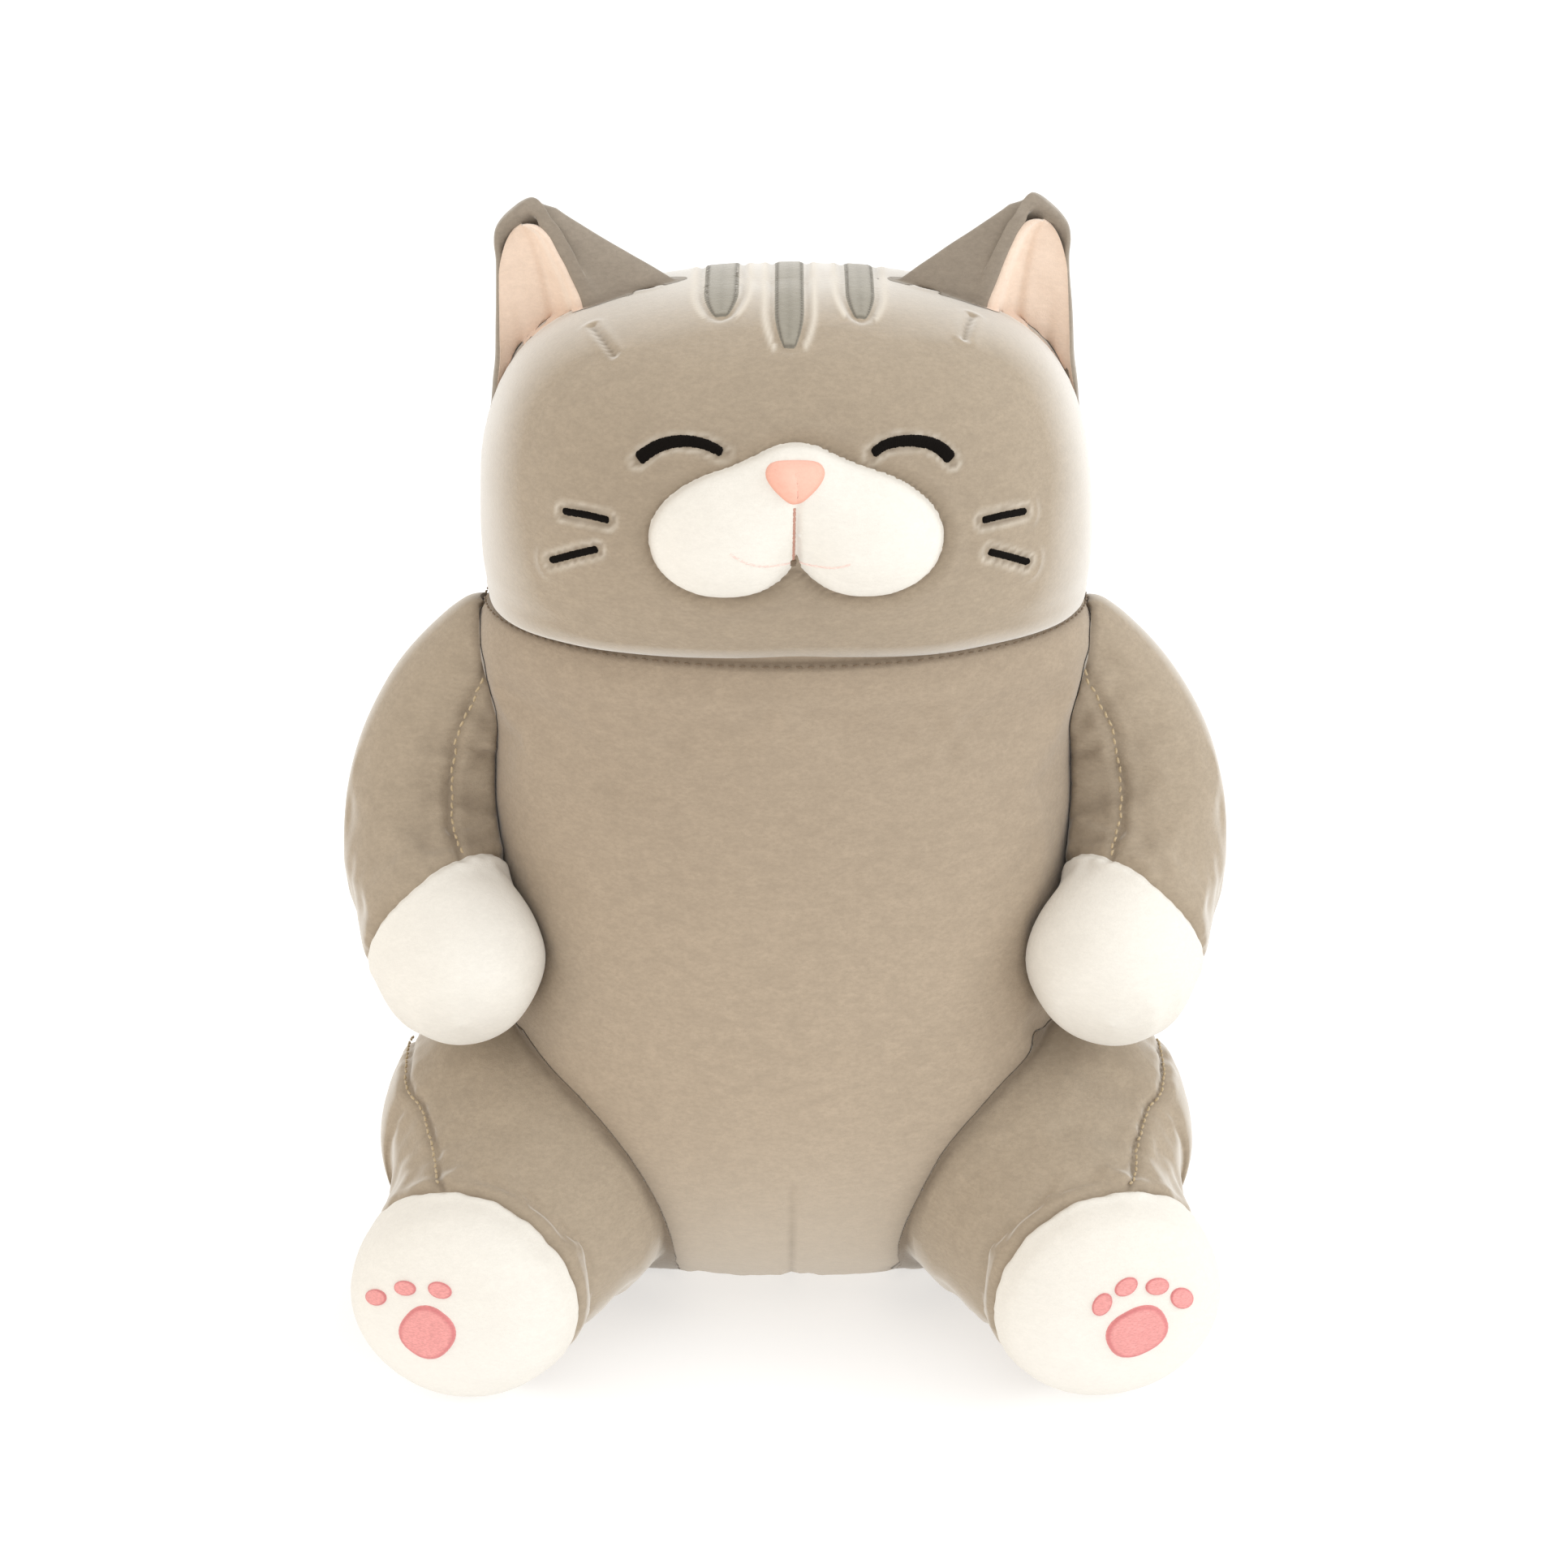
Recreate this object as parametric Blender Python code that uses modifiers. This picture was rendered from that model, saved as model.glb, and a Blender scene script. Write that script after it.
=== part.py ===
"""A sitting plush cat with a smiling face: sewn skins over filled compartments, one object per sewn piece.

The cat faces -Y and sits on a flat seat at Z = 0. Its own right side is at -X.
"""

import math

import bmesh
import bpy
from mathutils import Matrix, Vector
from mathutils.bvhtree import BVHTree

MM = 0.001

# Cloth and fit
SKIN = 2.2 * MM  # a layer of short-pile plush
GAP = 0.3 * MM  # clearance between neighbouring pieces
SEAM = 0.5 * MM  # clearance between two panels at their seam
INSET = SKIN + 2.3 * MM  # from a skin's outer face to its loosely packed filling
LIMB_CLEARANCE = 1.3 * MM  # between a limb's root and the torso
EAR_CLEARANCE = 2.5 * MM  # between an ear's base and the head
TRIM = 1.2 * MM  # height of stitched and appliqued details
TRIM_LIFT = 0.6 * MM  # from the cloth to a stitched detail's underside
PATCH_LIFT = 1.0 * MM  # from the cloth to a wide patch's underside
STEP = 0.004  # of a surface's shares and angles, when its direction is measured

# Head and neck
HEAD_YAW = math.radians(2.3)
NECK_CENTRE = Vector((0.0, 0.0, 236 * MM))
NECK_RADII = Vector((106 * MM, 82 * MM, 82 * MM))
NECK_SEAM_Z = 250.6 * MM
NECK_CLEARANCE = Vector((1.4 * MM, 1.4 * MM, 1.4 * MM))  # between the torso's dome and the head's socket

# Where each moving part turns, for the side at +X
EAR_PIVOT = Vector((69.7, 8.0, 342.5)) * MM
ARM_PIVOT = Vector((103.0, 4.0, 241.0)) * MM
LEG_PIVOT = Vector((108.0, 28.0, 50.0)) * MM
TAIL_PIVOT = Vector((0.0, 102.0, 50.0)) * MM

# Each row of a profile: height, half-width, depth to the front, depth to the back, all in mm
HEAD_PROFILE = (
    (244.0, 60.0, 40.0, 40.0),
    (245.5, 99.0, 73.0, 73.0),
    (254.0, 103.5, 83.5, 83.5),
    (268.0, 105.0, 90.0, 90.0),
    (283.0, 104.8, 92.5, 92.5),
    (298.0, 103.6, 91.5, 92.0),
    (312.0, 100.5, 87.5, 89.0),
    (324.5, 95.5, 80.5, 83.0),
    (335.0, 88.0, 71.0, 75.0),
    (343.5, 77.0, 59.5, 64.0),
    (349.5, 63.0, 46.0, 50.0),
    (354.0, 45.0, 31.5, 34.0),
    (356.6, 24.0, 16.5, 18.0),
    (357.4, 0.5, 0.5, 0.5),
)
HEAD_POWER = 2.25
TORSO_PROFILE = (
    (0.0, 0.5, 0.5, 0.5),
    (0.0, 34.0, 10.0, 36.0),
    (0.0, 66.0, 19.0, 66.0),
    (4.0, 79.0, 33.0, 78.0),
    (15.0, 91.5, 54.0, 90.0),
    (34.0, 100.0, 76.0, 98.5),
    (58.0, 103.5, 89.5, 101.5),
    (86.0, 104.0, 94.0, 101.0),
    (116.0, 103.0, 92.0, 97.0),
    (146.0, 102.2, 88.0, 92.0),
    (176.0, 101.8, 84.5, 87.0),
    (204.0, 101.5, 81.5, 82.5),
)
TORSO_POWER = 2.2
DOME_ANGLES = (-12.0, 0.0, 10.5, 22.0, 36.0, 52.0, 70.0, 89.6)

# Limbs: centre x, y, z, half-width, half-height of each section, for the side at +X, in mm
ARM_PATH = (
    (85.0, 5.0, 235.0, 0.5, 0.5),
    (92.0, 4.0, 229.0, 21.0, 22.5),
    (107.5, 3.0, 214.5, 24.5, 26.5),
    (120.5, 0.0, 195.0, 25.0, 27.0),
    (127.0, -8.0, 175.0, 25.0, 26.5),
    (127.0, -25.0, 158.0, 25.2, 26.5),
    (121.0, -44.0, 146.0, 26.3, 27.5),
    (113.5, -61.0, 137.0, 27.5, 28.0),
    (109.0, -75.0, 130.0, 25.0, 25.0),
    (107.5, -84.0, 125.0, 17.0, 17.0),
    (107.0, -88.0, 122.5, 0.5, 0.5),
)
ARM_OPENING = 0.06
ARM_CUFF = 0.60
LEG_PATH = (
    (82.0, 24.0, 51.0, 0.5, 0.5),
    (84.0, 16.0, 52.0, 36.0, 33.0),
    (86.0, -10.0, 53.5, 53.0, 47.0),
    (88.0, -33.0, 53.0, 54.5, 48.5),
    (88.5, -56.0, 48.5, 53.0, 45.5),
    (95.0, -77.0, 42.5, 46.0, 41.0),
    (103.0, -96.0, 38.0, 40.0, 36.7),
    (107.0, -113.0, 35.9, 40.3, 35.2),
    (110.0, -128.0, 35.7, 36.0, 32.0),
    (111.8, -137.5, 35.7, 23.0, 21.5),
    (112.5, -141.0, 35.7, 0.5, 0.5),
)
LEG_OPENING = 0.13
LEG_ANKLE = 0.61
TAIL_PATH = (
    (0.0, 80.0, 29.0, 0.5, 0.5),
    (0.0, 88.0, 28.5, 18.0, 18.0),
    (0.0, 102.0, 27.0, 21.0, 21.0),
    (0.0, 117.0, 26.0, 21.5, 21.5),
    (0.0, 131.0, 26.5, 19.0, 19.0),
    (0.0, 140.5, 27.5, 12.0, 12.0),
    (0.0, 143.9, 28.0, 0.5, 0.5),
)

# Ears, in the plane of the ear: along the base chord, up to the tip, forward; mm
EAR_OUTER_BASE = Vector((99.0, 8.0, 314.0)) * MM
EAR_CHORD = Vector((-0.813, 0.0, 0.583))
EAR_UP = Vector((0.583, 0.0, 0.813))
EAR_BASE_WIDTH = 73.0
EAR_TIP_ALONG = 44.0
EAR_PROFILE = (  # height, share of the width left, depth to the front, depth to the back
    (-26.0, 1.00, 5.0, 5.0),
    (-14.0, 1.02, 9.5, 8.0),
    (0.0, 1.00, 10.0, 8.0),
    (14.0, 0.78, 9.0, 7.5),
    (27.0, 0.55, 7.6, 7.0),
    (38.0, 0.33, 6.4, 6.2),
    (44.5, 0.19, 5.2, 5.2),
    (48.2, 0.08, 3.0, 3.0),
    (49.2, 0.005, 0.3, 0.3),
)

# Face details: x and z on the front of the head, in mm
FACE_X = 3.4  # the face is turned a little with the head
MUZZLE_Z = 297.0
MUZZLE_PUFF = 9.0
MUZZLE_HALF_OUTLINE = (  # from the middle of its top edge, round one lobe, to the cleft below
    (0.0, 27.0), (7.0, 26.0), (14.0, 23.0), (22.0, 19.8), (31.0, 16.6), (39.0, 12.0), (45.5, 5.5), (48.8, -3.0),
    (47.0, -12.5), (41.0, -19.5), (31.5, -23.5), (21.0, -24.0), (12.0, -22.0), (5.5, -18.0), (0.0, -13.5),
)
NOSE_CENTRE = (3.0, 313.0)
NOSE_OUTLINE = ((9.5, 1.5), (7.5, 5.0), (0.0, 5.8), (-7.5, 5.0), (-9.5, 1.5), (-5.5, -3.2), (0.0, -6.5), (5.5, -3.2))
STRIPES = (("right", -21.5, 353.2, 7.1), ("middle", 1.2, 347.0, 6.0), ("left", 24.8, 352.6, 6.0))
EYE_X = 37.2
EYE_ARC = ((-12.4, 320.2), (-6.5, 322.0), (0.5, 322.4), (7.5, 321.0), (12.4, 317.6))
WHISKERS = (
    ("upper", ((61.0, 296.8), (66.0, 298.6), (71.0, 298.3), (76.0, 296.2))),
    ("lower", ((64.0, 285.6), (69.0, 284.6), (74.0, 282.2), (79.0, 279.0))),
)
MOUTH_LINE = ((2.8, 305.2), (2.7, 300.0), (2.6, 294.0), (2.5, 288.4))
MOUTH_SMILE = ((-16.5, 290.0), (-11.0, 287.8), (-4.5, 286.7), (2.5, 286.3), (9.5, 286.6), (15.5, 287.0), (21.0, 288.6))
EYE_WIDTH = 3.8
WHISKER_WIDTH = 3.0
MOUTH_WIDTH = 1.8

# Paw prints on the soles: x and z from the sole's centre, half-sizes and turn, for the cat's left foot
PAD_MAIN = (4.5, -2.5, 10.8, 9.2, 24.0)
TOES_LEFT = (
    (-7.5, 8.5, 4.3, 3.2, 60.0),
    (0.5, 14.0, 4.2, 3.0, 25.0),
    (11.0, 13.0, 4.2, 3.0, -8.0),
    (19.5, 7.5, 4.6, 3.4, -42.0),
)

MATERIALS = {
    "grey_plush": ((0.50, 0.43, 0.35), 0.85),
    "dark_grey_plush": ((0.38, 0.33, 0.27), 0.85),
    "white_plush": ((0.90, 0.88, 0.84), 0.85),
    "peach_plush": ((0.84, 0.66, 0.54), 0.85),
    "pink_thread": ((0.87, 0.55, 0.50), 0.55),
    "black_thread": ((0.02, 0.015, 0.012), 0.45),
    "fibre_filling": ((0.92, 0.92, 0.90), 0.95),
    "bead_bag": ((0.80, 0.79, 0.74), 0.8),
}


def clear_scene():
    for item in list(bpy.data.objects):
        bpy.data.objects.remove(item, do_unlink=True)


def make_material(name):
    colour, roughness = MATERIALS[name]
    material = bpy.data.materials.get(name) or bpy.data.materials.new(name)
    material.use_nodes = True
    shader = material.node_tree.nodes["Principled BSDF"]
    shader.inputs["Base Color"].default_value = (*colour, 1.0)
    shader.inputs["Roughness"].default_value = roughness
    shader.inputs["Metallic"].default_value = 0.0
    return material


def smooth(knots, share):
    """The values at a share of the way along evenly spaced rows, passing through each row."""
    spans = len(knots) - 1
    place = min(max(share, 0.0), 1.0) * spans
    index = min(int(place), spans - 1)
    f = place - index
    rows = [knots[min(max(index + step, 0), spans)] for step in (-1, 0, 1, 2)]
    values = []
    for before, start, end, after in zip(*rows):
        bend = 2 * before - 5 * start + 4 * end - after
        twist = 3 * start - before - 3 * end + after
        values.append(0.5 * (2 * start + (end - before) * f + bend * f * f + twist * f ** 3))
    return values


def powered(value, power):
    return math.copysign(abs(value) ** (2 / power), value)


def stacked_point(profile, power):
    """A point function for a body built of level sections."""

    def point(share, angle):
        height, half, front, back = smooth(profile, share)
        depth = back if math.sin(angle) > 0 else front
        x = half * powered(math.cos(angle), power)
        y = depth * powered(math.sin(angle), power)
        return Vector((x, y, height)) * MM

    return point


def swept_point(path, reference=Vector((1.0, 0.0, 0.0))):
    """A point function for a limb swept along its path."""

    def point(share, angle):
        x, y, z, half, tall = smooth(path, share)
        ahead = Vector(smooth(path, share + 0.01)[:3])
        behind = Vector(smooth(path, share - 0.01)[:3])
        along = (ahead - behind).normalized()
        across = (reference - reference.dot(along) * along).normalized()
        up = along.cross(across)
        offset = across * (half * math.cos(angle)) + up * (tall * math.sin(angle))
        return (Vector((x, y, z)) + offset) * MM

    return point


def ear_point(share, angle):
    height, width, front, back = smooth(EAR_PROFILE, share)
    lean = EAR_TIP_ALONG / EAR_BASE_WIDTH
    half = 0.5 * EAR_BASE_WIDTH * width
    centre = EAR_TIP_ALONG + (0.5 - lean) * EAR_BASE_WIDTH * width
    along = centre + half * math.cos(angle)
    depth = (back if math.sin(angle) > 0 else front) * math.sin(angle)
    place = EAR_CHORD * along + EAR_UP * height + Vector((0, 1, 0)) * depth
    return EAR_OUTER_BASE + place * MM


def closed_body(point, columns, rows):
    """A closed mesh over the whole of a point function, poles at its two ends."""
    mesh = bmesh.new()
    bmesh.ops.create_uvsphere(mesh, u_segments=columns, v_segments=rows, radius=1.0)
    for vertex in mesh.verts:
        angle = math.atan2(vertex.co.y, vertex.co.x)
        share = 0.5 + math.asin(min(max(vertex.co.z, -1.0), 1.0)) / math.pi
        vertex.co = point(share, angle)
    set_outward(mesh)
    return mesh


def set_outward(mesh):
    """Turns a closed mesh's faces outwards."""
    bmesh.ops.recalc_face_normals(mesh, faces=mesh.faces)
    if mesh.calc_volume(signed=True) < 0:
        bmesh.ops.reverse_faces(mesh, faces=mesh.faces)
    mark_outward(mesh)


def mark_outward(mesh):
    """Stores each vertex's outward direction, so that a cut edge keeps the direction of the whole surface."""
    mesh.normal_update()
    outward = mesh.verts.layers.float_vector.get("outward") or mesh.verts.layers.float_vector.new("outward")
    for vertex in mesh.verts:
        vertex[outward] = vertex.normal


def open_tube(point, first, last, start, end, columns, rows):
    """Part of a point function's surface between two shares and two angles."""
    mesh = bmesh.new()
    outward = mesh.verts.layers.float_vector.new("outward")
    bmesh.ops.create_grid(mesh, x_segments=columns, y_segments=rows, size=1.0)
    for vertex in mesh.verts:
        angle = start + (end - start) * (vertex.co.x + 1) / 2
        share = first + (last - first) * (vertex.co.y + 1) / 2
        along = point(share + STEP, angle) - point(share - STEP, angle)
        around = point(share, angle + STEP) - point(share, angle - STEP)
        normal = around.cross(along)
        ahead = point(1.0, 0.0) - point(0.9, 0.0)
        vertex[outward] = (normal if normal.length > 1e-12 else ahead).normalized()
        vertex.co = point(share, angle)
    bmesh.ops.remove_doubles(mesh, verts=mesh.verts, dist=1e-6)
    return mesh


def face_out(mesh, inside):
    """Turns an open surface so that its faces point away from a point inside it."""
    mesh.normal_update()
    outward = sum((face.calc_center_median() - inside).dot(face.normal) for face in mesh.faces)
    if outward < 0:
        bmesh.ops.reverse_faces(mesh, faces=mesh.faces)


def offset(mesh, distance):
    mesh.normal_update()
    moves = [(vertex, vertex.normal * distance) for vertex in mesh.verts]
    for vertex, move in moves:
        vertex.co += move


def beyond_seam(distance):
    return math.copysign(max(abs(distance) - 0.49 * SEAM, 0.0), distance)


def keep_region(mesh, planes, kept):
    """Cuts a seam along each plane and keeps the faces whose distances beyond the seams pass the test."""
    for place, normal in planes:
        for side in (-SEAM / 2, SEAM / 2):
            geometry = mesh.verts[:] + mesh.edges[:] + mesh.faces[:]
            bmesh.ops.bisect_plane(mesh, geom=geometry, dist=1e-7, plane_co=place + normal * side, plane_no=normal)
    dropped = []
    for face in mesh.faces:
        centre = face.calc_center_median()
        if not kept(*(beyond_seam((centre - place).dot(normal)) for place, normal in planes)):
            dropped.append(face)
    bmesh.ops.delete(mesh, geom=dropped, context="FACES")


def mirrored(mesh, side):
    if side < 0:
        bmesh.ops.scale(mesh, vec=(-1, 1, 1), verts=mesh.verts)
        bmesh.ops.reverse_faces(mesh, faces=mesh.faces)
    return mesh


def thickened(mesh, thickness=SKIN):
    """Makes an open surface a closed shell, growing inwards along the stored outward directions."""
    outward = mesh.verts.layers.float_vector["outward"]
    made = bmesh.ops.extrude_face_region(mesh, geom=mesh.faces[:])
    for vertex in made["geom"]:
        if isinstance(vertex, bmesh.types.BMVert):
            vertex.co -= vertex[outward] * thickness
    set_outward(mesh)
    return mesh


def add_object(name, mesh, material, parent=None, helper=False):
    data = bpy.data.meshes.new(name)
    mesh.to_mesh(data)
    mesh.free()
    data.shade_smooth()
    item = bpy.data.objects.new(name, data)
    if helper:
        item.hide_render = True
        item.display_type = "WIRE"
        helpers.objects.link(item)
    else:
        data.materials.append(make_material(material))
        pieces.objects.link(item)
    if parent:
        item.parent = parent
        item.matrix_parent_inverse = parent.matrix_world.inverted()
    return item


def raise_up(item, height=TRIM):
    """Gives a stitched or appliqued detail its height above the cloth."""
    modifier = item.modifiers.new("height", "SOLIDIFY")
    modifier.thickness = height
    modifier.offset = 1.0
    return item


def cut(item, cutter):
    modifier = item.modifiers.new("cut", "BOOLEAN")
    modifier.operation = "DIFFERENCE"
    modifier.solver = "EXACT"
    modifier.object = cutter
    return item


def pivot(name, place, side=1):
    """An empty at a joint, on the cat's left side, or mirrored to its right."""
    empty = bpy.data.objects.new(name, None)
    empty.empty_display_size = 0.02
    empty.location = (side * place.x, place.y, place.z)
    helpers.objects.link(empty)
    bpy.context.view_layer.update()
    return empty


def surface_tree(mesh):
    return BVHTree.FromBMesh(mesh)


def on_front(tree, x, z, lift=TRIM_LIFT):
    """The point on the front of a surface at x and z in mm, lifted clear of it."""
    place, normal, _, _ = tree.ray_cast(Vector((x * MM, -0.3, z * MM)), Vector((0, 1, 0)))
    return place + normal * lift


def stitched_line(name, tree, places, width, material, parent):
    """A raised line of satin stitch along points on the front of a surface."""
    mesh = bmesh.new()
    steps = 2 * (len(places) - 1)
    bmesh.ops.create_grid(mesh, x_segments=1, y_segments=steps, size=1.0)
    for vertex in mesh.verts:
        share = (vertex.co.y + 1) / 2
        x, z = smooth(places, share)
        ahead = smooth(places, share + 0.02)
        behind = smooth(places, share - 0.02)
        run = Vector((ahead[0] - behind[0], ahead[1] - behind[1])).normalized()
        end_round = max(0.45, math.sin(math.pi * min(max(share, 0.08), 0.92)) ** 0.25)
        reach = vertex.co.x * width / 2 * end_round
        vertex.co = on_front(tree, x - run.y * reach, z + run.x * reach)
    face_out(mesh, Vector((0.0, 0.0, places[0][1] * MM)))
    return raise_up(add_object(name, mesh, material, parent))


def disc_place(vertex, outline):
    """Where a sphere's vertex falls on a flat patch: its share of the outline's corner nearest it, and that share."""
    corners = len(outline)
    turn = math.atan2(vertex.co.y, vertex.co.x) % (2 * math.pi)
    across, up = outline[int(round(turn / (2 * math.pi) * corners)) % corners]
    level = 1 - 2 * math.asin(min(abs(vertex.co.z), 1.0)) / math.pi
    return across * level, up * level, level


def stitched_patch(name, placed, outline, material, parent, inside, height=TRIM, rings=3):
    """A filled patch on a surface, each vertex placed by a function of its place and level in the outline."""
    mesh = bmesh.new()
    bmesh.ops.create_uvsphere(mesh, u_segments=len(outline), v_segments=2 * rings, radius=1.0)
    lower = [face for face in mesh.faces if face.calc_center_median().z < 0]
    bmesh.ops.delete(mesh, geom=lower, context="FACES")
    for vertex in mesh.verts:
        vertex.co = placed(*disc_place(vertex, outline))
    face_out(mesh, inside)
    return raise_up(add_object(name, mesh, material, parent), height)


def oval(half_width, half_height, turn, corners=14, power=2.0):
    """The outline of a turned oval."""
    spin = Matrix.Rotation(math.radians(turn), 2)
    places = []
    for index in range(corners):
        angle = 2 * math.pi * index / corners
        across = half_width * powered(math.cos(angle), power)
        up = half_height * powered(math.sin(angle), power)
        places.append(tuple(spin @ Vector((across, up))))
    return places


def torso_point(share, angle):
    """The torso's sections, closed above by the dome that the head turns on."""
    rows = list(TORSO_PROFILE)
    for tilt in DOME_ANGLES:
        height = (NECK_CENTRE.z + NECK_RADII.z * math.sin(math.radians(tilt))) / MM
        half = NECK_RADII.x * math.cos(math.radians(tilt)) / MM
        depth = NECK_RADII.y * math.cos(math.radians(tilt)) / MM
        rows.append((height, half, depth, depth))
    blend = min(max((share * (len(rows) - 1) - 8) / 4, 0.0), 1.0)
    power = TORSO_POWER + (2.0 - TORSO_POWER) * blend
    return stacked_point(rows, power)(share, angle)


def build_torso():
    def surface():
        return closed_body(torso_point, 26, 19)

    middle = (Vector((0, 0, 0)), Vector((0, 1, 0)))
    neck = (Vector((0, 0, NECK_SEAM_Z)), Vector((0, 0, 1)))
    seat = (Vector((0, 0, 1.4 * MM)), Vector((0, 0, 1)))
    front = surface()
    keep_region(front, (middle, neck, seat), lambda back, over, up: back < 0 and over < 0 and up > 0)
    add_object("body_front_panel", thickened(front), "grey_plush")
    rear = surface()
    keep_region(rear, (middle, neck, seat), lambda back, over, up: back > 0 and over < 0 and up > 0)
    add_object("body_back_panel", thickened(rear), "grey_plush")
    base = surface()
    keep_region(base, (seat,), lambda up: up < 0)
    add_object("seat_panel", thickened(base), "grey_plush")

    bag_cut = closed_body(bag_point, 16, 7)
    offset(bag_cut, GAP)
    bag_cutter = add_object("bag_pocket", bag_cut, None, helper=True)
    filling = surface()
    offset(filling, -INSET)
    filling = add_object("body_filling", filling, "fibre_filling")
    cut(filling, bag_cutter)
    channel = bmesh.new()
    bmesh.ops.create_cone(
        channel, cap_ends=True, segments=16, radius1=8 * MM, radius2=8 * MM, depth=14 * MM,
        matrix=Matrix.Translation((0, 12 * MM, 6 * MM)),
    )
    cut(filling, add_object("bag_pocket_opening", channel, None, helper=True))
    add_object("seat_bead_bag", closed_body(bag_point, 16, 7), "bead_bag")


def bag_point(share, angle):
    """A flat round bag of beads low in the body."""
    rows = ((9.0, 0.5), (9.0, 26.0), (10.0, 44.0), (15.0, 52.0), (22.0, 52.0), (28.0, 42.0), (30.0, 24.0), (30.5, 0.5))
    height, half = smooth(rows, share)
    return Vector((half * math.cos(angle), half * 0.8 * math.sin(angle) + 12, height)) * MM


def build_head(parent):
    """The head's two panels and filling. It returns the head's closed surface, for the details to sit on."""
    point = stacked_point(HEAD_PROFILE, HEAD_POWER)

    def surface(offset_by=0.0):
        mesh = closed_body(point, 30, 13)
        offset(mesh, offset_by)
        bmesh.ops.rotate(mesh, cent=(0, 0, 0), matrix=Matrix.Rotation(HEAD_YAW, 3, "Z"), verts=mesh.verts)
        mark_outward(mesh)
        return mesh

    dome = bmesh.new()
    bmesh.ops.create_uvsphere(dome, u_segments=24, v_segments=18, radius=1.0)
    bmesh.ops.scale(dome, vec=NECK_RADII + NECK_CLEARANCE, verts=dome.verts)
    bmesh.ops.translate(dome, vec=NECK_CENTRE, verts=dome.verts)
    socket = add_object("neck_socket", dome, None, helper=True)

    across = Matrix.Rotation(HEAD_YAW, 3, "Z") @ Vector((0, 1, 0))
    crown = (Vector((0, 4 * MM, 0)), across)
    front = surface()
    keep_region(front, (crown,), lambda back: back < 0)
    cut(add_object("head_front_panel", thickened(front), "grey_plush", parent), socket)
    rear = surface()
    keep_region(rear, (crown,), lambda back: back > 0)
    cut(add_object("head_back_panel", thickened(rear), "grey_plush", parent), socket)
    cut(add_object("head_filling", surface(-INSET), "fibre_filling", parent), socket)
    return surface


def whole_outline(half):
    """A closed outline, anticlockwise from its right-hand side, from the points down its right-hand half."""
    left = [(-x, z) for x, z in half[1:-1]]
    around = list(reversed(half)) + left
    start = min(range(len(around)), key=lambda index: abs(math.atan2(around[index][1], around[index][0])))
    return around[start:] + around[:start]


def build_muzzle(head_surface, parent):
    """The puffed white patch on the face, over its own filling. It returns the patch."""
    tree = surface_tree(head_surface)
    outline = whole_outline(MUZZLE_HALF_OUTLINE)
    inside = Vector((0, 0, MUZZLE_Z * MM))

    def placed(puff):
        def place(across, up, level):
            flat = on_front(tree, FACE_X + across, MUZZLE_Z + up, PATCH_LIFT)
            return flat + Vector((0, -1, 0)) * max(puff * (1 - level ** 2.4), 0.0) * MM

        return place

    panel = stitched_patch("muzzle_panel", placed(MUZZLE_PUFF), outline, "white_plush", parent, inside, 1.6 * MM, 4)
    filling = bmesh.new()
    bmesh.ops.create_uvsphere(filling, u_segments=len(outline), v_segments=8, radius=1.0)
    for vertex in filling.verts:
        across, up, level = disc_place(vertex, outline)
        puff = MUZZLE_PUFF - 1.0 if vertex.co.z > 0.01 else 0.0
        vertex.co = placed(puff)(0.86 * across, 0.86 * up, level)
    set_outward(filling)
    add_object("muzzle_filling", filling, "fibre_filling", parent)
    return panel


def build_face(head_surface, parent):
    skin = surface_tree(head_surface)
    panel = build_muzzle(head_surface, parent)
    puffed = bmesh.new()
    bpy.context.view_layer.update()
    puffed.from_object(panel, bpy.context.evaluated_depsgraph_get())
    muzzle = surface_tree(puffed)
    inside = Vector((0, 0, 0.3))

    def on_muzzle(across, up, _):
        return on_front(muzzle, NOSE_CENTRE[0] + across, NOSE_CENTRE[1] + up)

    stitched_patch("nose", on_muzzle, NOSE_OUTLINE, "pink_thread", parent, inside, 2 * TRIM, 2)
    stitched_line("mouth_line", muzzle, MOUTH_LINE, MOUTH_WIDTH, "pink_thread", parent)
    stitched_line("mouth_smile", muzzle, MOUTH_SMILE, MOUTH_WIDTH, "pink_thread", parent)
    puffed.free()
    for word, side in (("right", -1), ("left", 1)):
        arc = [(FACE_X + side * (EYE_X + x), z) for x, z in EYE_ARC]
        stitched_line(f"eye_{word}", skin, arc, EYE_WIDTH, "black_thread", parent)
        for level, places in WHISKERS:
            line = [(FACE_X + side * x, z) for x, z in places]
            stitched_line(f"whisker_{level}_{word}", skin, line, WHISKER_WIDTH, "black_thread", parent)


def build_stripes(head_surface, parent):
    """Three dark strips over the forehead, from a pointed end on the face to the back of the crown."""
    tree = surface_tree(head_surface)
    centre = Vector((0.0, 4 * MM, 290 * MM))
    for word, x, tip_z, half in STRIPES:
        tip = on_front(tree, x, tip_z, 0.0)
        first = math.atan2(tip.z - centre.z, tip.y - centre.y)
        last = math.radians(45.0)
        mesh = bmesh.new()
        bmesh.ops.create_grid(mesh, x_segments=3, y_segments=12, size=1.0)
        for vertex in mesh.verts:
            share = (vertex.co.y + 1) / 2
            angle = first + (last - first) * share
            narrow = min(1.0, 0.12 + 3.2 * share) ** 0.6
            start = Vector((x * MM + vertex.co.x * half * MM * narrow, centre.y, centre.z))
            place, normal, _, _ = tree.ray_cast(start, Vector((0, math.cos(angle), math.sin(angle))))
            vertex.co = place + normal * PATCH_LIFT
        face_out(mesh, centre)
        raise_up(add_object(f"forehead_stripe_{word}", mesh, "dark_grey_plush", parent))


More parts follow.
